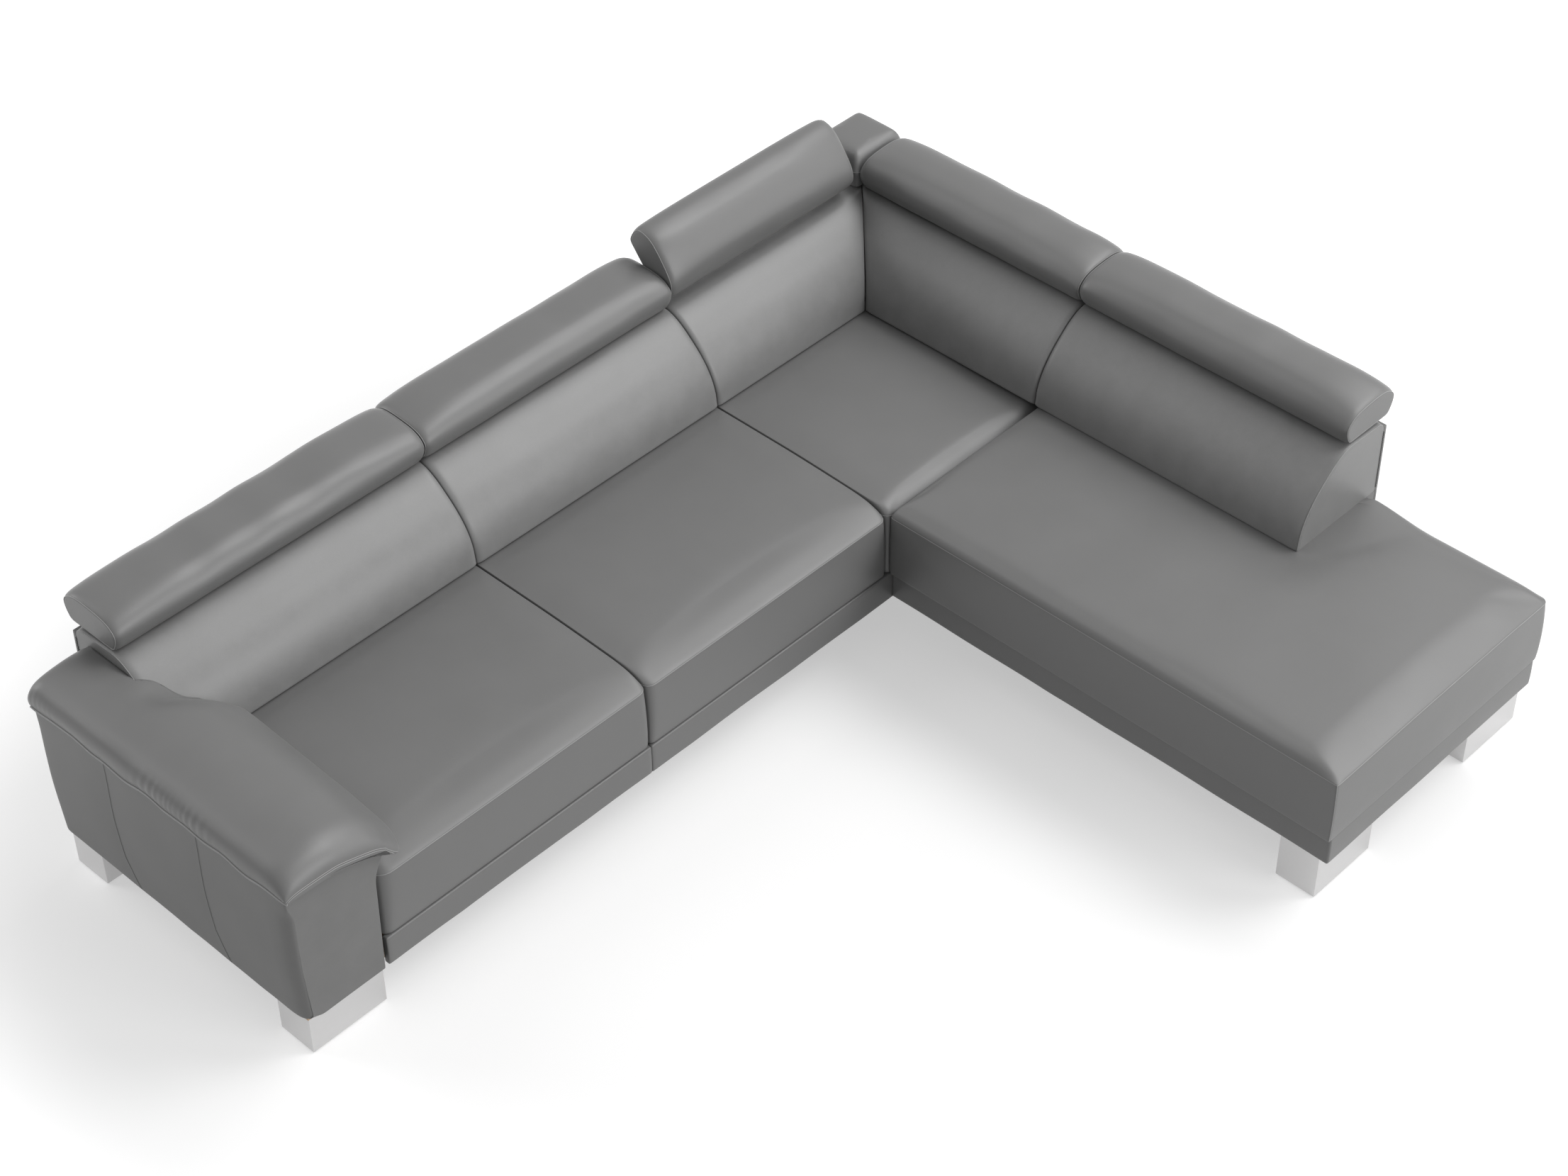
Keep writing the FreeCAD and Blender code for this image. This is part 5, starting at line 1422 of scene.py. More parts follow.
@dataclass
class Armrest:
    """The armrest: an upholstered body, its pad, piping, seams and stitching."""

    x_out: float = -2638.5
    y_rear: float = 37.0
    length: float = 866.0
    back_start: float = -2483.5
    front_roll: float = 58.0
    front_draw: float = 22.0
    rear_roll: float = 13.0
    rear_draw: float = 8.0
    bottom: float = 136.4
    pad_front_roll: float = 72.0
    pad_rear_roll: float = 20.0
    dip_depth: float = 26.0
    piping_bead: float = 2.6
    side_bead: float = 0.8
    side_seams: tuple[float, float] = (-214.0, -535.0)
    piping: np.ndarray = field(default_factory=lambda: np.zeros((0, 3)))
    front_edge: np.ndarray = field(default_factory=lambda: np.zeros((0, 3)))

    def body_section(self) -> Section:
        """Return the front view of the arm body, from its outer foot."""
        return Section(
            (
                Corner(7, self.bottom, 12),
                Corner(-9, 330, 100),
                Corner(-6, 555.5, 5),
                Corner(130, 549, 70),
                Corner(268, 508, 12),
                Corner(272, 490, 12),
                Corner(243, 436, 26),
                Corner(238, self.bottom, 10),
            ),
            (0, 2, 4, 7),
        )

    def pad_section(self, top: float, droop: float, reach: float, dip: float = 0.0) -> Section:
        """The pad's section.

        Args:
            top: How far the crown goes down.
            droop: How far the inner tip droops.
            reach: How much of the inner overhang there is, from 0 to 1.
            dip: How far the inner shoulder goes down where the back meets it.

        Returns:
            The section, from the lower outer corner over the crown to the inner tip.
        """
        crest = 633.0 - top
        return Section(
            (
                Corner(-10, 557.6, 3),
                Corner(-18, 592 - top * 0.4, 34),
                Corner(10, crest - 5, 46),
                Corner(115, crest + 6, 70),
                Corner(217 - 26 * (1 - reach) - dip * 0.3, crest - 8 - droop * 0.4 - dip * 0.5, 50),
                Corner(276 - 38 * (1 - reach), crest - 44 - droop * 0.6 - dip, 40),
                Corner(318 - 44 * (1 - reach), 545 - droop, 16),
                Corner(298 - 26 * (1 - reach), 505 - droop * 0.42 + 12 * (1 - reach), 14),
                Corner(272, 511.0, 6),
            ),
            (0, 2, 6, 8),
        )

    def back_space(self) -> bpy.types.Object:
        """Return a hidden block in the shape of the end back, which the arm is cut to clear."""
        grown = drawn_in(BACK_SECTION.ring([np.linspace(0, 1, 24)] * 4), -0.9)
        grown[:, 1] = np.where(grown[:, 1] < 441, 439.0, grown[:, 1])
        grown[:, 0] = np.where(grown[:, 0] > -16, 60.0, grown[:, 0])
        run = Run(self.back_start)
        rings = [run.place(np.full(len(grown), x), grown[:, 0], grown[:, 1]) for x in (-0.2, 300.0)]
        made = Skin("end_back_space", np.array(rings), 23, 23).build()
        made.hide_render = True
        made.hide_viewport = True
        return made

    def body(self) -> bpy.types.Object:
        """Return the arm body."""
        section = self.body_section()
        lengths = section.lengths()
        spans_a = shares(lengths[0], 14, (4, 9, 16))
        spans_b = shares(lengths[1], 14, (4, 9, 16))
        flat = section.ring([spans_a, spans_b, spans_a, spans_b])
        rings = []
        edge = [0, 1.2, 3.5, 7, 11, 16, 22, 28, 36]
        places = [(self.length - d, d) for d in edge]
        places += [(p, 99.0) for p in np.linspace(self.length - self.front_roll, 14, 60)]
        places += [(8.0, 8.0), (4.0, 4.0), (1.5, 1.5), (0.0, 0.0)]
        for along, inside in places:
            if along > 60:
                amount = self.front_draw * round_off(inside, self.front_roll)
            else:
                amount = self.rear_draw * round_off(inside, self.rear_roll)
            ring = drawn_in(flat, amount)
            outer = 1 - ease_all((flat[:, 0] - 10) / 60)
            upper = ease_all((flat[:, 1] - 470) / 60)
            weight = np.maximum(0.3, outer * (1 - 0.8 * upper))
            ring = flat + (ring - flat) * weight[:, None]
            low = flat[:, 1] < 150
            ring[low, 1] = np.maximum(ring[low, 1], self.bottom)
            rings.append(np.c_[self.x_out + ring[:, 0], np.full(len(ring), self.y_rear - along), ring[:, 1]])
        made = Skin("arm_body", np.array(rings), len(spans_a) - 1, len(spans_b) - 1).build()
        points = read_points(made)
        side = ease_all((self.x_out + 30 - points[:, 0]) / 30) * ease_all((points[:, 2] - 150) / 60)
        side *= ease_all((550 - points[:, 2]) / 60)
        y = points[:, 1]
        panels = np.zeros(len(points))
        for first, last in ((37, self.side_seams[0]), self.side_seams, (self.side_seams[1], -829)):
            inside = np.clip((first - y) / (first - last), 0, 1)
            panels += np.where((y <= first) & (y > last), np.sin(np.pi * inside) ** 0.5, 0)
        points[:, 0] -= side * (panels * 2.2 - 1.4)
        points[:, 0] -= side * wobble(points, 150.0, 1.6, 8.0)
        lower = ease_all((190 - points[:, 2]) / 54) * ease_all((points[:, 1] + 815) / 110)
        lower *= ease_all((20 - points[:, 1]) / 110)
        points[:, 2] += lower * np.abs(wobble(points * np.array([0, 1, 0]), 210.0, 7.0, 3.0))
        write_points(made, points)
        return made

    def pad(self) -> bpy.types.Object:
        """Return the pad on top of the arm, and keep the line of its piping."""
        total = self.length + 20
        # Places along the arm, with how far the crown goes down and the inner tip droops at each
        stops, tops, droops = zip(
            (-2.0, 8.0, 0.0),
            (30.0, 0.0, 0.0),
            (total * 0.45, 0.0, 0.0),
            (total * 0.8, 4.0, 18.0),
            (total - 34, 8.0, 36.0),
            (total, 12.0, 45.0),
        )
        edge = [0, 1.0, 3, 6, 10, 15, 21, 28, 37, 48, 60]
        places = [(-2.0, 0.0), (0.0, 2.0), (3.0, 5.0), (8.0, 10.0), (16.0, 18.0)]
        places += [(p, 99.0) for p in np.linspace(26, total - self.pad_front_roll, 108)]
        places += [(total - d, d) for d in reversed(edge)]
        lengths = self.pad_section(0, 0, 1).lengths()
        spans_a = shares(lengths[0], 9, (3, 7))
        spans_b = shares(lengths[1], 13, (5, 11))
        rings = []
        for along, inside in places:
            top = float(np.interp(along, stops, tops))
            droop = float(np.interp(along, stops, droops))
            overhang = ease((along - 250) / 115)
            dip = self.dip_depth * math.exp(-(((along - 246) / 44) ** 2))
            ring = self.pad_section(top, droop, overhang, dip).ring([spans_a, spans_b, spans_a, spans_b])
            underside = [557.6, 550.6, 511.5, 505 - droop * 0.42, 520 - droop]
            base = np.interp(ring[:, 0], [-10, 130, 268, 298, 318], underside)
            above = ring[:, 1] > base
            front = along > 100
            roll = round_off(inside, self.pad_front_roll if front else self.pad_rear_roll)
            flatter = base + (ring[:, 1] - base) * (1 - (0.74 if front else 0.25) * roll)
            ring[:, 1] = np.where(above, flatter, ring[:, 1])
            if front:
                ring[:, 0] -= roll * 20 * ease_all((ring[:, 0] - 225) / 90)
                ring[:, 0] += roll * 5 * ease_all((20 - ring[:, 0]) / 30)
            floor = np.interp(ring[:, 0], [-9, 130, 268, 274], [557.2, 550.4, 510.6, 508.0])
            ring[:, 1] = np.where(ring[:, 0] < 272, np.maximum(ring[:, 1], floor), ring[:, 1])
            y = np.full(len(ring), self.y_rear + 2 - along)
            rings.append(np.c_[self.x_out + ring[:, 0], y, ring[:, 1]])
        made = Skin("arm_pad", np.array(rings), len(spans_a) - 1, len(spans_b) - 1).build()
        points = read_points(made)
        moved = self.puckered(points)
        write_points(made, moved)
        count = rings[0].shape[0]
        self.piping = moved[: len(places) * count : count]
        self.front_edge = moved[(len(places) - 1) * count + np.arange(1, len(spans_a) + len(spans_b) - 2)]
        return made

    def puckered(self, points: np.ndarray) -> np.ndarray:
        """Gather the leather along the piping and let its lower edge wander.

        Args:
            points: The pad's vertices.

        Returns:
            The moved vertices.
        """
        points = points.copy()
        y = points[:, 1]
        outer = ease_all((self.x_out + 26 - points[:, 0]) / 36)
        near = outer * ease_all((632 - points[:, 2]) / 50)
        gather = np.sin(y * 2 * math.pi / 21.0 + 3 * np.sin(y / 37.0))
        where = np.clip(np.sin(y / 88.0 + 0.6) + 0.25, 0, 1) * ease_all((points[:, 2] - 560) / 14)
        points[:, 0] += near * gather * where * 1.5
        edge = outer * ease_all((600 - points[:, 2]) / 44)
        drift = np.array([noise.noise(Vector((0.0, v / 105.0, 4.7))) for v in y])
        points[:, 2] -= edge * (3.0 + 8.5 * drift)
        points[:, 0] -= edge * (1.5 + 3.0 * drift)
        tip = ease_all((points[:, 0] - self.x_out - 200) / 60) * ease_all((-800 - y) / 30)
        fold = np.sin((points[:, 0] - self.x_out) * 2 * math.pi / 17.0)
        points[:, 2] += tip * fold * 0.9
        uneven = wobble(points * np.array([1, 1, 0]), 130.0, 2.0, 5.0)
        points[:, 2] += ease_all((points[:, 2] - 560) / 60) * uneven
        return points

    def trim(self, body: bpy.types.Object, pad: bpy.types.Object) -> None:
        """Lay the piping, the double seam of the front and the stitched seams of the side. The piping and the
        front seams are lighter than the leather, a painted highlight.

        Args:
            body: The finished arm body.
            pad: The finished pad.
        """
        line = self.piping + np.array([-1.6, 0.0, -0.4])
        clear = line[line[:, 1] < 36.0]
        finish_piece(tube("arm_piping", clear, self.piping_bead, False), PAINTED_HIGHLIGHT_WELT)
        for label, height, radius in (("upper", 5.0, 1.1), ("lower", -0.6, 0.9)):
            path = self.front_edge
            before = np.full(len(path), -860.0)
            laid, _ = Surface(pad).lay(np.c_[path[:, 0], before, path[:, 2] - height], (0.0, 1.0, 0.0), 0.2)
            if len(laid) > 8:
                bead = tube("arm_front_seam_" + label, laid, radius, False)
                finish_piece(bead, PAINTED_HIGHLIGHT_WELT)
        surface = Surface(body)
        for number, top in enumerate(self.side_seams):
            heights = np.linspace(545, 146, 90)
            slant = np.interp(-heights, [-550, -366, -236, -150, -134], [0, 1, -4, -32, -40])
            start = np.c_[np.full(90, self.x_out - 60), top + slant, heights]
            path, _ = surface.lay(start, (1.0, 0.0, 0.0), -0.2)
            bead = tube("arm_side_seam_%d" % (number + 1), path, self.side_bead, False, sides=6)
            finish_piece(bead, DARK_THREAD)
            start[:, 1] -= 3.2
            path, outward = surface.lay(start, (1.0, 0.0, 0.0), 0.0)
            label = "arm_side_stitches_%d" % (number + 1)
            row = stitches(label, path, outward, pitch=5.5, length=3.6, radius=0.5)
            finish_piece(row, THREAD)

    def build(self) -> None:
        """Make the arm body and pad, cut them clear of the end back and dress them."""
        space = self.back_space()
        finished = []
        for made, nodes, finish, label in (
            (self.body(), ("arm_cover",), ARM_SIDE_LEATHER, "arm body"),
            (self.pad(), ("arm_pad_cover", "arm_pad_core"), SEAT_LEATHER, "arm pad"),
        ):
            soften(made)
            cutter = made.modifiers.new("clear of the back", "BOOLEAN")
            cutter.operation = "DIFFERENCE"
            cutter.solver = "EXACT"
            cutter.object = space
            settle(made)
            finish_piece(made, finish)
            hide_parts(*nodes)
            finished.append(made)
            LOG.info("made %s", label)
        bpy.data.objects.remove(space)
        self.trim(*finished)


# Base, rear and dust cloth


@dataclass
class SoftBoard:
    """A leather-wrapped board: a box with softly rolled edges."""

    name: str
    low: tuple[float, float, float]
    high: tuple[float, float, float]
    nodes: tuple[str, ...]
    edge: float = 7.0
    swell: tuple[float, float] = (0.0, 0.0)
    step: float = 22.0
    finish: LeatherFinish = SEAT_LEATHER

    def build(self) -> bpy.types.Object:
        """Return the board."""
        spans_x = shares(self.high[0] - self.low[0], self.step, (3, 7, 12))
        spans_y = shares(self.high[1] - self.low[1], self.step, (3, 7, 12))
        edge = min(self.edge, (self.high[0] - self.low[0]) * 0.45, (self.high[1] - self.low[1]) * 0.45)
        rings = []
        steps = [math.radians(a) for a in (8, 30, 55, 75, 90)]
        heights = [(self.low[2] + edge * (1 - math.sin(t)), edge * (1 - math.cos(t))) for t in steps][::-1]
        middle = np.linspace(self.low[2] + edge, self.high[2] - edge, 5)
        rows = heights + [(z, 0.0) for z in middle[1:-1]]
        rows += [(self.high[2] - edge * (1 - math.sin(t)), edge * (1 - math.cos(t))) for t in steps]
        for z, inset in rows:
            rings.append(self.ring(z, inset, edge, [spans_x, spans_y, spans_x, spans_y]))
        made = Skin(self.name, np.array(rings), len(spans_x) - 1, len(spans_y) - 1).build()
        points = read_points(made)
        write_points(made, points + self.filled_out(points))
        soften(made)
        finish_piece(made, self.finish)
        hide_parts(*self.nodes)
        LOG.info("made %s", self.name)
        return made

    def filled_out(self, points: np.ndarray) -> np.ndarray:
        """How far the padding and the leather's slack move each vertex.

        Args:
            points: The vertices.

        Returns:
            The movement of each.
        """
        low, high = np.array(self.low), np.array(self.high)
        share = (points - low) / (high - low)
        move = np.zeros_like(points)
        for axis in (0, 1):
            other = 1 - axis
            across = np.sin(np.pi * np.clip(share[:, other], 0, 1)) ** 0.5
            hump = across * np.sin(np.pi * np.clip(share[:, 2], 0, 1)) ** 0.5
            facing = ease_all(share[:, axis]) if self.swell[axis] > 0 else 1 - ease_all(share[:, axis])
            move[:, axis] = self.swell[axis] * hump * facing
        return move

    def ring(self, z: float, inset: float, edge: float, spans: Sequence[np.ndarray]) -> np.ndarray:
        """Points round the board at one height.

        Args:
            z: The height.
            inset: How far the ring stands in from the board's sides.
            edge: The rounding of the board's edges.
            spans: Shares of the four sides.

        Returns:
            The points.
        """
        x0, x1 = self.low[0] + inset, self.high[0] - inset
        y0, y1 = self.low[1] + inset, self.high[1] - inset
        flat = box_ring([(x0, y0), (x1, y0), (x1, y1), (x0, y1)], spans)
        radius = max(0.5, edge * 0.9 - inset * 0.5)
        inner_x = np.clip(flat[:, 0], x0 + radius, x1 - radius)
        inner = np.c_[inner_x, np.clip(flat[:, 1], y0 + radius, y1 - radius)]
        away = flat - inner
        size = np.linalg.norm(away, axis=1)
        corner = (np.abs(away[:, 0]) > 1e-6) & (np.abs(away[:, 1]) > 1e-6)
        flat[corner] = inner[corner] + away[corner] / size[corner][:, None] * radius
        return np.c_[flat, np.full(len(flat), z)]


@dataclass
class Skirt:
    """One wrapped board that goes round the chaise base, with close corners."""

    name: str
    path: tuple[tuple[float, float], ...]
    nodes: tuple[str, ...]
    low: float
    high: float
    thick: float = 18.0
    corner: float = 7.0

    def line(self) -> tuple[np.ndarray, np.ndarray]:
        """Return the outer line with small round corners, and the inward direction at each point."""
        knots = [np.array(p) for p in self.path]
        points: list[np.ndarray] = []
        for i, knot in enumerate(knots):
            if i in (0, len(knots) - 1):
                points.append(knot)
                continue
            back = (knots[i - 1] - knot) / np.linalg.norm(knots[i - 1] - knot)
            ahead = (knots[i + 1] - knot) / np.linalg.norm(knots[i + 1] - knot)
            start, end = knot + back * self.corner, knot + ahead * self.corner
            for t in np.linspace(0, 1, 7):
                points.append((1 - t) ** 2 * start + 2 * t * (1 - t) * knot + t * t * end)
        dense = [points[0]]
        for here, there in zip(points[:-1], points[1:]):
            steps = max(1, int(np.linalg.norm(there - here) / 22))
            dense += [here + (there - here) * k / steps for k in range(1, steps + 1)]
        line = np.array(dense)
        ahead = np.gradient(line, axis=0)
        ahead /= np.linalg.norm(ahead, axis=1)[:, None]
        return line, np.c_[-ahead[:, 1], ahead[:, 0]]

    def build(self) -> bpy.types.Object:
        """Return the board."""
        section = Section(
            (
                Corner(0, self.low, 6), Corner(0, self.high, 3),
                Corner(self.thick, self.high, 4), Corner(self.thick, self.low, 4),
            ),
            (0, 1, 2, 3),
        )
        spans_a = shares(self.high - self.low, 14, (3, 7))
        spans_b = shares(self.thick, 6, (3,))
        flat = section.ring([spans_a, spans_b, spans_a, spans_b])
        line, inward = self.line()
        bottom = np.abs(wobble(np.c_[line, line[:, 0] * 0], 240.0, 5.0, 6.0))
        rings = []
        for i, (place, turn) in enumerate(zip(line, inward)):
            outward = np.sin(np.pi * (flat[:, 1] - self.low) / (self.high - self.low)) * 1.2
            depth = flat[:, 0] - outward * (flat[:, 0] < 4)
            lift = bottom[i] * ease_all((self.low + 40 - flat[:, 1]) / 40)
            rings.append(np.c_[place[0] + turn[0] * depth, place[1] + turn[1] * depth, flat[:, 1] + lift])
        made = Skin(self.name, np.array(rings), len(spans_a) - 1, len(spans_b) - 1).build()
        soften(made)
        finish_piece(made, SEAT_LEATHER)
        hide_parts(*self.nodes)
        LOG.info("made %s", self.name)
        return made


@dataclass
class Base:
    """The upholstered boards under the seats."""

    low: float = 136.4
    high: float = 223.0
    front: float = -825.6

    def build(self) -> None:
        """Make the boards, and the leather lining beside the arm."""
        for index, (start, end) in enumerate(((-2391.0, -1567.1), (-1565.9, -720.6))):
            Skirt(
                "run_front_board_%d" % (index + 1), ((start, self.front), (end, self.front)),
                ("run_front_panels",), self.low, self.high,
            ).build()
        Skirt(
            "chaise_boards", ((-719.5, -800.5), (-719.5, -2165.0), (102.5, -2165.0), (102.5, -1652.0)),
            ("chaise_inner_panel", "chaise_front_panel", "chaise_outer_panel"), self.low, self.high,
        ).build()
        SoftBoard(
            "run_side_lining", (-2393.4, -799.0, self.low), (-2391.9, 34.0, 432.0),
            ("run_front_panels",), edge=0.6,
        ).build()


@dataclass
class RearCover:
    """The leather that closes the rear of the run and of the chaise side, sewn in panels."""

    low: float = 138.4
    waist: float = 440.0
    high: float = 640.6
    run_seams: tuple[float, ...] = (-2391.5, -1566.5, -741.5, 137.5)
    side_seams: tuple[float, ...] = (74.0, -822.0, -1648.0)
    wide_start: float = -2482.8
    run_inner: tuple[float, float] = (74.4, 72.4)
    run_face: float = 85.4
    run_thread: float = 86.0
    side_inner: tuple[float, float] = (126.9, 124.9)
    side_face: float = 137.9
    side_thread: float = 138.5
    swell: float = 3.0
    seam_rows: tuple[tuple[float, str], ...] = ((-7.0, "a"), (7.0, "b"))

    def panel(
        self, name: str, low: tuple[float, float, float], high: tuple[float, float, float],
        node: str, swell: tuple[float, float],
    ) -> None:
        """Make one padded panel.

        Args:
            name: The panel's name.
            low: Its lowest corner.
            high: Its highest corner.
            node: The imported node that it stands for.
            swell: How far its outer face fills out along X and Y.
        """
        SoftBoard(name, low, high, (node,), edge=2.2, swell=swell, step=30.0, finish=ARM_SIDE_LEATHER).build()

    def build(self) -> None:
        """Make the panels, the returns, the fillers and the stitching between them."""
        below, above = self.waist - 0.4, self.waist + 0.4
        along_run, along_side = (0, self.swell), (self.swell, 0)
        for i in range(3):
            x0, x1 = self.run_seams[i] + 0.5, self.run_seams[i + 1] - 0.5
            top_start = self.wide_start if i == 0 else x0
            low_end, high_end = (x1, self.run_face, below), (x1, self.run_face, self.high)
            name = "run_rear_%s_" + str(i + 1)
            low_start, high_start = (x0, self.run_inner[0], self.low), (top_start, self.run_inner[1], above)
            self.panel(name % "low", low_start, low_end, "run_rear_panel", along_run)
            self.panel(name % "high", high_start, high_end, "run_rear_panel", along_run)
        for i in range(2):
            y1, y0 = self.side_seams[i] - 0.5, self.side_seams[i + 1] + 0.5
            low_end, high_end = (self.side_face, y1, below), (self.side_face, y1, self.high)
            name = "side_rear_%s_" + str(i + 1)
            low_start, high_start = (self.side_inner[0], y0, self.low), (self.side_inner[1], y0, above)
            self.panel(name % "low", low_start, low_end, "side_rear_panel", along_side)
            self.panel(name % "high", high_start, high_end, "side_rear_panel", along_side)
        for name, low, high, node in (
            ("run_rear_return", (-2391.4, 38.0, self.low), (-2389.4, 74.0, self.waist), "run_rear_panel"),
            ("run_rear_filler", (-2411.0, 26.0, self.low - 1), (-2391.2, 33.0, self.waist), "run_rear_panel"),
            ("corner_neck", (60.0, 8.0, self.high - 2), (135.5, 83.0, 673.0), "side_rear_panel"),
            ("side_rear_return", (79.2, -1647.9, self.low), (126.5, -1645.9, self.waist), "side_rear_panel"),
        ):
            self.panel(name, low, high, node, (0, 0))
        self.stitching()

    def stitching(self) -> None:
        """Sew both sides of each upright seam of the rear."""
        z = np.linspace(self.low + 6, self.high - 6, 60)
        for i, x in enumerate(self.run_seams[1:-1]):
            for aside, label in self.seam_rows:
                path = np.c_[np.full(60, x + aside), np.full(60, self.run_thread), z]
                self.stitch_row("run_rear_stitch_%d_%s" % (i + 1, label), path, (0.0, 1.0, 0.0))
        for aside, label in self.seam_rows:
            path = np.c_[np.full(60, self.side_thread), np.full(60, self.side_seams[1] + aside), z]
            self.stitch_row("side_rear_stitch_" + label, path, (1.0, 0.0, 0.0))

    def stitch_row(self, name: str, path: np.ndarray, facing: tuple[float, float, float]) -> None:
        """Sew one row of stitches.

        Args:
            name: The row's name.
            path: Its points.
            facing: The direction in which the leather faces.
        """
        row = stitches(name, path, np.tile(facing, (len(path), 1)), pitch=6.0, length=4.0, radius=0.5)
        finish_piece(row, THREAD)


@dataclass
class DustCloth:
    """Black non-woven cloth stapled under the frames, which hangs a little between them."""

    level: float = 137.2
    sag: float = 3.5

    def sheet(self, name: str, x0: float, x1: float, y0: float, y1: float) -> None:
        """Make one sheet.

        Args:
            name: Its name.
            x0: Its left edge.
            x1: Its right edge.
            y0: Its front edge.
            y1: Its rear edge.
        """
        across = max(8, int((x1 - x0) / 30))
        along = max(8, int((y1 - y0) / 30))
        points = []
        for i in range(across + 1):
            for j in range(along + 1):
                u, v = i / across, j / along
                drop = self.sag * (math.sin(math.pi * u) * math.sin(math.pi * v)) ** 0.5
                points.append((x0 + (x1 - x0) * u, y0 + (y1 - y0) * v, self.level - drop))
        faces = []
        for i in range(across):
            for j in range(along):
                a = i * (along + 1) + j
                faces.append((a, a + along + 1, a + along + 2, a + 1))
        made = mesh_object(name, np.array(points), faces)
        shell = made.modifiers.new("cloth thickness", "SOLIDIFY")
        shell.thickness = 0.0006
        shell.offset = 0
        finish_piece(made, NODE_FINISHES["dust_cloth"])
        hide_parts("dust_cover")
        LOG.info("made %s", name)

    def build(self) -> None:
        """Make the sheets under the run and under the chaise side."""
        self.sheet("run_dust_cloth", -2389.0, -743.5, -799.0, 72.0)
        self.sheet("corner_dust_cloth", -739.0, 124.0, -822.0, 72.0)
        self.sheet("chaise_dust_cloth", -700.0, 83.0, -2145.0, -822.5)


# Camera, lamps and floor


@dataclass(frozen=True)
class Camera:
    """The photograph's viewpoint."""

    place: tuple[float, float, float] = (-5188.1, -4737.5, 5525.2)
    azimuth: float = -46.165
    elevation: float = 42.067
    roll: float = -0.4855
    lens: float = 73.36

    def build(self) -> None:
        """Make the camera and use it."""
        a, e, r = (math.radians(v) for v in (self.azimuth, self.elevation, self.roll))
        back = Vector((math.sin(a) * math.cos(e), -math.cos(a) * math.cos(e), math.sin(e)))
        right = Vector((0, 0, 1)).cross(back).normalized()
        up = back.cross(right)
        turned_right = right * math.cos(r) + up * math.sin(r)
        turned_up = up * math.cos(r) - right * math.sin(r)
        data = bpy.data.cameras.new("photograph view")
        data.lens = self.lens
        data.sensor_width = 36.0
        data.clip_start = 0.1
        data.clip_end = 100.0
        made = bpy.data.objects.new("photograph view", data)
        rotation = Matrix((turned_right, turned_up, back)).transposed()
        made.matrix_world = Matrix.Translation(Vector(self.place) * MM) @ rotation.to_4x4()
        bpy.context.scene.collection.objects.link(made)
        bpy.context.scene.camera = made


@dataclass(frozen=True)
class Lamp:
    """A soft round lamp far from the sofa, which it faces, so that it lights the floor evenly."""

    name: str
    azimuth: float
    elevation: float
    power: float
    size: float = 7.8
    distance: float = 16.0
    aim: tuple[float, float, float] = (-1.2, -0.9, 0.4)

    def build(self) -> None:
        """Make the lamp."""
        a, e = math.radians(self.azimuth), math.radians(self.elevation)
        away = Vector((math.sin(a) * math.cos(e), -math.cos(a) * math.cos(e), math.sin(e)))
        data = bpy.data.lights.new(self.name, "AREA")
        data.shape = "DISK"
        data.size = self.size
        data.energy = self.power
        made = bpy.data.objects.new(self.name, data)
        made.location = Vector(self.aim) + away * self.distance
        made.rotation_mode = "QUATERNION"
        made.rotation_quaternion = away.to_track_quat("Z", "Y")
        bpy.context.scene.collection.objects.link(made)


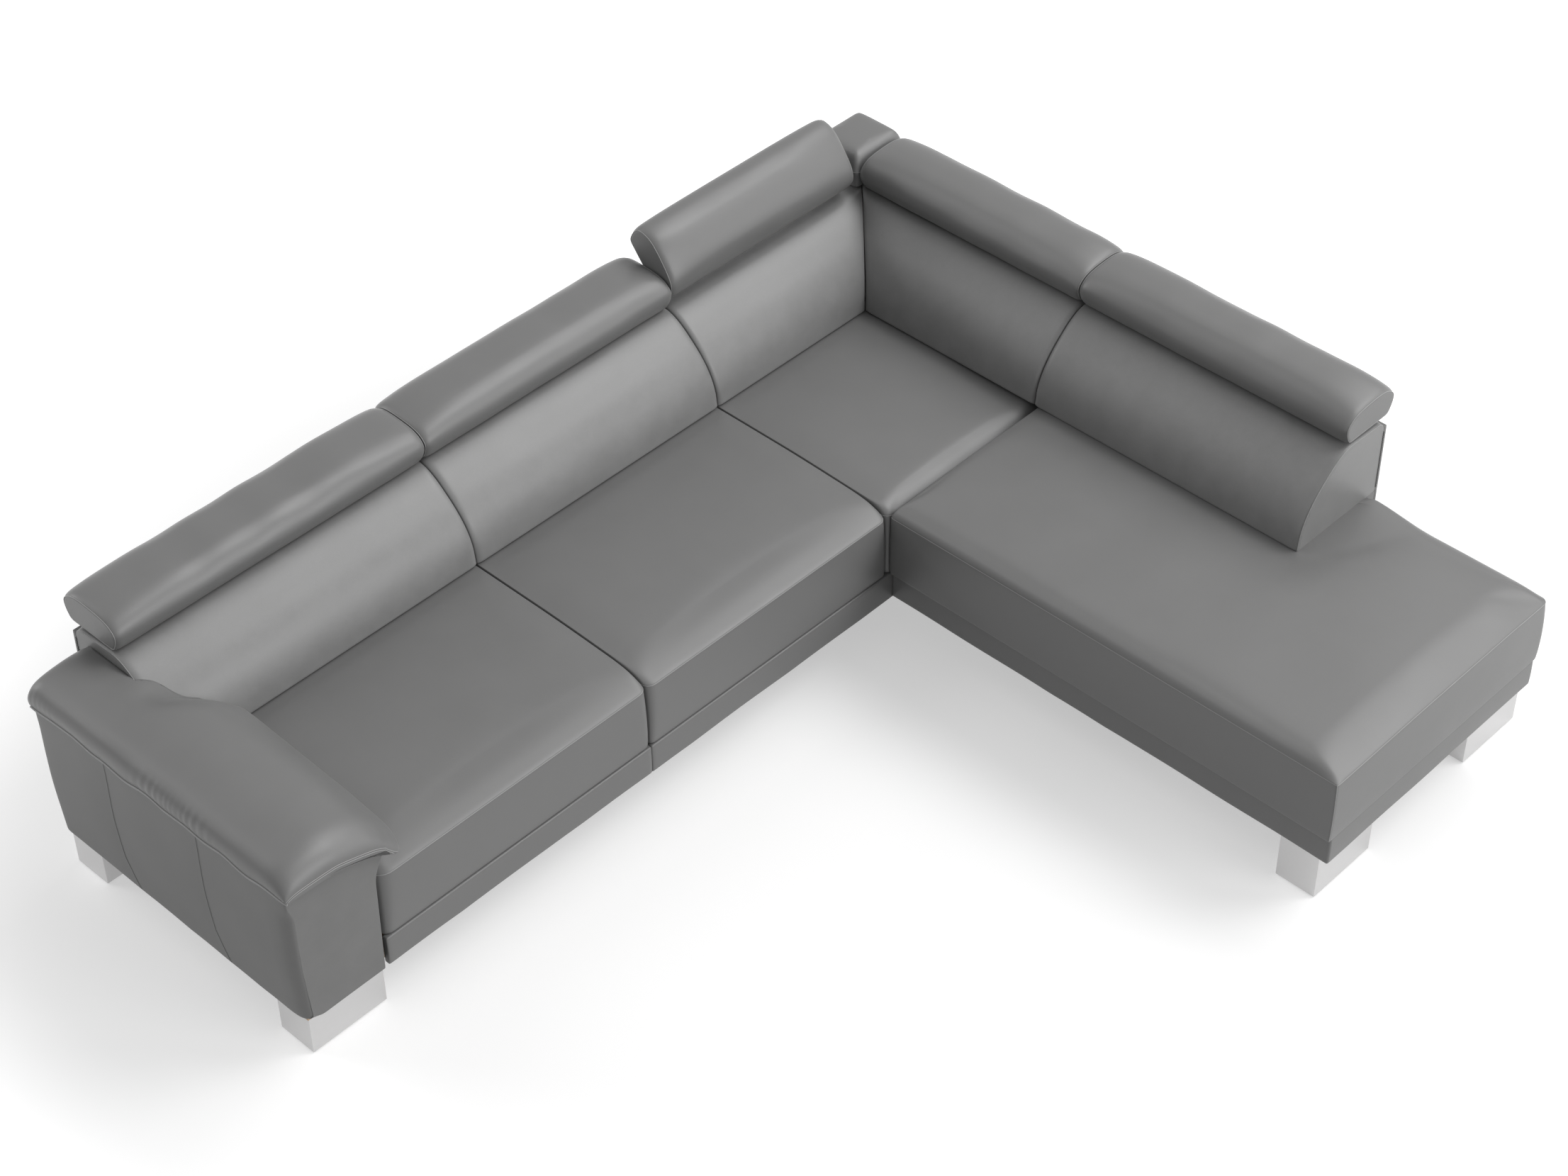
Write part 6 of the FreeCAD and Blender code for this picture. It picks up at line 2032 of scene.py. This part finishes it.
@dataclass(frozen=True)
class Studio:
    """A white floor, a white surround and soft lamps."""

    surround: float = 0.3
    floor_tone: float = 0.55
    floor_lift: float = 0.48
    floor_middle: tuple[float, float, float] = (-1.2, -0.9, 0.0)
    floor_fade: tuple[float, float] = (1.7, 2.8)

    def seen(self, desk: NodeDesk) -> bpy.types.NodeSocket:
        """A value that is 1 for what the camera, a gloss or a clear material sees.

        Args:
            desk: Where the nodes are added.

        Returns:
            The value's socket.
        """
        rays = desk.add("ShaderNodeLightPath").outputs
        direct = desk.add(
            "ShaderNodeMath", {0: rays["Is Camera Ray"], 1: rays["Is Glossy Ray"]}, operation="MAXIMUM"
        )
        any_of_them = desk.add(
            "ShaderNodeMath", {0: direct.outputs[0], 1: rays["Is Transmission Ray"]}, operation="MAXIMUM"
        )
        return any_of_them.outputs[0]

    def floor(self) -> None:
        """Make the floor, whose own brightness for the camera keeps the sofa's shadow near it and grows to
        white farther out, painted light that washes the shadow out there.
        """
        work = bmesh.new()
        bmesh.ops.create_grid(work, x_segments=8, y_segments=8, size=40.0)
        mesh = bpy.data.meshes.new("floor")
        work.to_mesh(mesh)
        work.free()
        made = bpy.data.objects.new("floor", mesh)
        made.location = (0, 0, -0.0004)
        bpy.context.scene.collection.objects.link(made)
        material = bpy.data.materials.new("white floor")
        material.use_nodes = True
        tree = material.node_tree
        desk = NodeDesk(tree)
        shader = tree.nodes["Principled BSDF"]
        shader.inputs["Base Color"].default_value = (self.floor_tone,) * 3 + (1,)
        shader.inputs["Roughness"].default_value = 0.9
        shader.inputs["Specular IOR Level"].default_value = 0.0
        place = desk.add("ShaderNodeTexCoord").outputs["Object"]
        away = desk.add("ShaderNodeVectorMath", {0: place, 1: self.floor_middle}, operation="DISTANCE")
        # Painted light on the floor: the glow seen by the camera rises from floor_lift near the sofa to full
        # white beyond the fade, so the real shadow fades out sooner than the lamps make it.
        whiter = desk.add(
            "ShaderNodeMapRange",
            {
                "Value": away.outputs["Value"],
                "From Min": self.floor_fade[0], "From Max": self.floor_fade[1],
                "To Min": self.floor_lift, "To Max": 1.0,
            },
            interpolation_type="SMOOTHSTEP",
        )
        lift = desk.add(
            "ShaderNodeMath", {0: self.seen(desk), 1: whiter.outputs["Result"]}, operation="MULTIPLY"
        )
        glow = desk.add("ShaderNodeEmission", {"Strength": lift.outputs[0], "Color": (1, 1, 1, 1)})
        both = desk.add("ShaderNodeAddShader", {0: shader.outputs[0], 1: glow.outputs[0]})
        tree.links.new(both.outputs[0], tree.nodes["Material Output"].inputs["Surface"])
        made.data.materials.append(material)

    def world(self) -> None:
        """Make the surround: white to the camera and a plain soft light on the sofa."""
        world = bpy.data.worlds.new("studio")
        bpy.context.scene.world = world
        world.use_nodes = True
        tree = world.node_tree
        desk = NodeDesk(tree)
        strength = desk.add(
            "ShaderNodeMapRange",
            {"Value": self.seen(desk), "To Min": self.surround, "To Max": 1.0},
        )
        background = tree.nodes["Background"]
        background.inputs["Color"].default_value = (1, 1, 1, 1)
        tree.links.new(strength.outputs["Result"], background.inputs["Strength"])

    def lamps(self) -> list[Lamp]:
        """Return the lamps."""
        return [
            Lamp("main lamp", 50, 50, 1112.0),
            Lamp("low right lamp", 50, 18, 321.0),
            Lamp("low front lamp", 15, 18, 930.0),
            Lamp("right side lamp", 90, 50, 642.0),
            Lamp("rear left lamp", -150, 18, 620.0),
            Lamp("high rear left lamp", -150, 50, 240.0),
        ]

    def build(self) -> None:
        """Make the whole studio."""
        self.floor()
        self.world()
        for lamp in self.lamps():
            lamp.build()
        bpy.context.scene.view_settings.view_transform = "Standard"


# The whole sofa


@dataclass
class CornerSofa:
    """All the dressed pieces of the sofa."""

    seats: list[Seat] = field(default_factory=list)

    def make_seats(self) -> None:
        """Make the four seat cushions and their seams."""
        self.seats = [
            Seat(
                "seat_1_cushion", -2391.5, -1566.5, -822, 26, ("seat_1_cover", "seat_1_core"),
                corner=(34.0, 20.0, 4.0, 4.0), seed=1.0,
            ),
            Seat("seat_2_cushion", -1566.5, -741.5, -822, 26, ("seat_2_cover", "seat_2_core"), seed=2.0),
            Seat(
                "corner_seat_cushion", -741.5, 78.5, -822, 26, ("corner_seat_cover", "corner_seat_core"),
                rolls=(46.0, 3.0, 6.0, 3.0), bellies=(0.0, 0.0, 0.0, 0.0), flat_side=-209.0, seed=3.0,
                crown=4.5, rise=7.6,
            ),
            Chaise(
                "chaise_cushion", -733.5, 108.5, -2169, -822, ("chaise_cover", "chaise_core"),
                rolls=(112.0, 40.0, 12.0, 34.0), bellies=(3.0, 4.0, 0.0, 2.0), corner=(4.0, 14.0, 6.0, 6.0),
                flat_behind=1e9, seed=4.0, crown=6.0,
            ),
        ]
        for seat in self.seats:
            seat.build()
        cap = Seat(
            "corner_cap_cushion", -41.5, 154.5, -74, 102, ("corner_cap_cover", "corner_cap_core"),
            rolls=(36.0, 36.0, 36.0, 36.0), bellies=(0.0, 0.0, 0.0, 0.0), corner=(18.0, 18.0, 18.0, 18.0),
            low=671.6, seam=716.0, top=758.5, rise=0.0, crown=5.0, flat_behind=1e9, step=12.0, seed=5.0,
        )
        self.seats.append(cap)
        cap.build()

    def make_backs(self) -> None:
        """Make the five backs."""
        Back(1, Run(-2483.5), 917.0, panel_start=True, seed=11.0).build()
        Back(2, Run(-1566.5), 825.0, seed=12.0).build()
        Back(3, Run(-741.5), 880.0, mitre_end=True, seed=13.0).build()
        Back(4, Run(86.0, True), 908.0, mitre_start=True, seed=14.0).build()
        Back(5, Run(-822.0, True), 826.0, panel_end=True, seed=15.0).build()

    def make_headrests(self) -> None:
        """Make the five headrests."""
        Headrest(1, Run(-2483.5), 917.0, seed=21.0).build()
        Headrest(2, Run(-1566.5), 825.0, seed=22.0).build()
        Headrest(3, Run(-741.5), 675.0, tilt=52.0, seed=23.0).build()
        Headrest(4, Run(-77.0, True), 745.0, seed=24.0).build()
        Headrest(5, Run(-822.0, True), 826.0, seed=25.0).build()

    def dress_nodes(self) -> None:
        """Give each carried-over node a material from its slot."""
        slots = {row["node"]: row["material_slot"] for row in frame["record"]["subparts"]}
        for name, thing in frame["nodes"].items():
            finish = NODE_FINISHES.get(slots.get(name, ""), SEAT_LEATHER)
            thing.data.materials.clear()
            thing.data.materials.append(finish.material())
            if name in ("arm_feet", "chaise_feet", "corner_foot"):
                bevel = thing.modifiers.new("eased edges", "BEVEL")
                bevel.width = 0.0012
                bevel.segments = 2
                bevel.limit_method = "ANGLE"

    def build(self) -> None:
        """Make every piece."""
        self.dress_nodes()
        self.make_seats()
        self.make_backs()
        self.make_headrests()
        Armrest().build()
        Base().build()
        RearCover().build()
        DustCloth().build()
        SHOP.run()
        for job in SHOP.jobs:
            soften(job.thing)
        for seat in self.seats:
            seat.seams()


def main() -> None:
    """Build the camera, the studio and the sofa, and report the pieces."""
    logging.basicConfig(level=logging.INFO, format="%(name)s: %(message)s")
    Camera().build()
    Studio().build()
    CornerSofa().build()


if __name__ == "__main__":
    main()
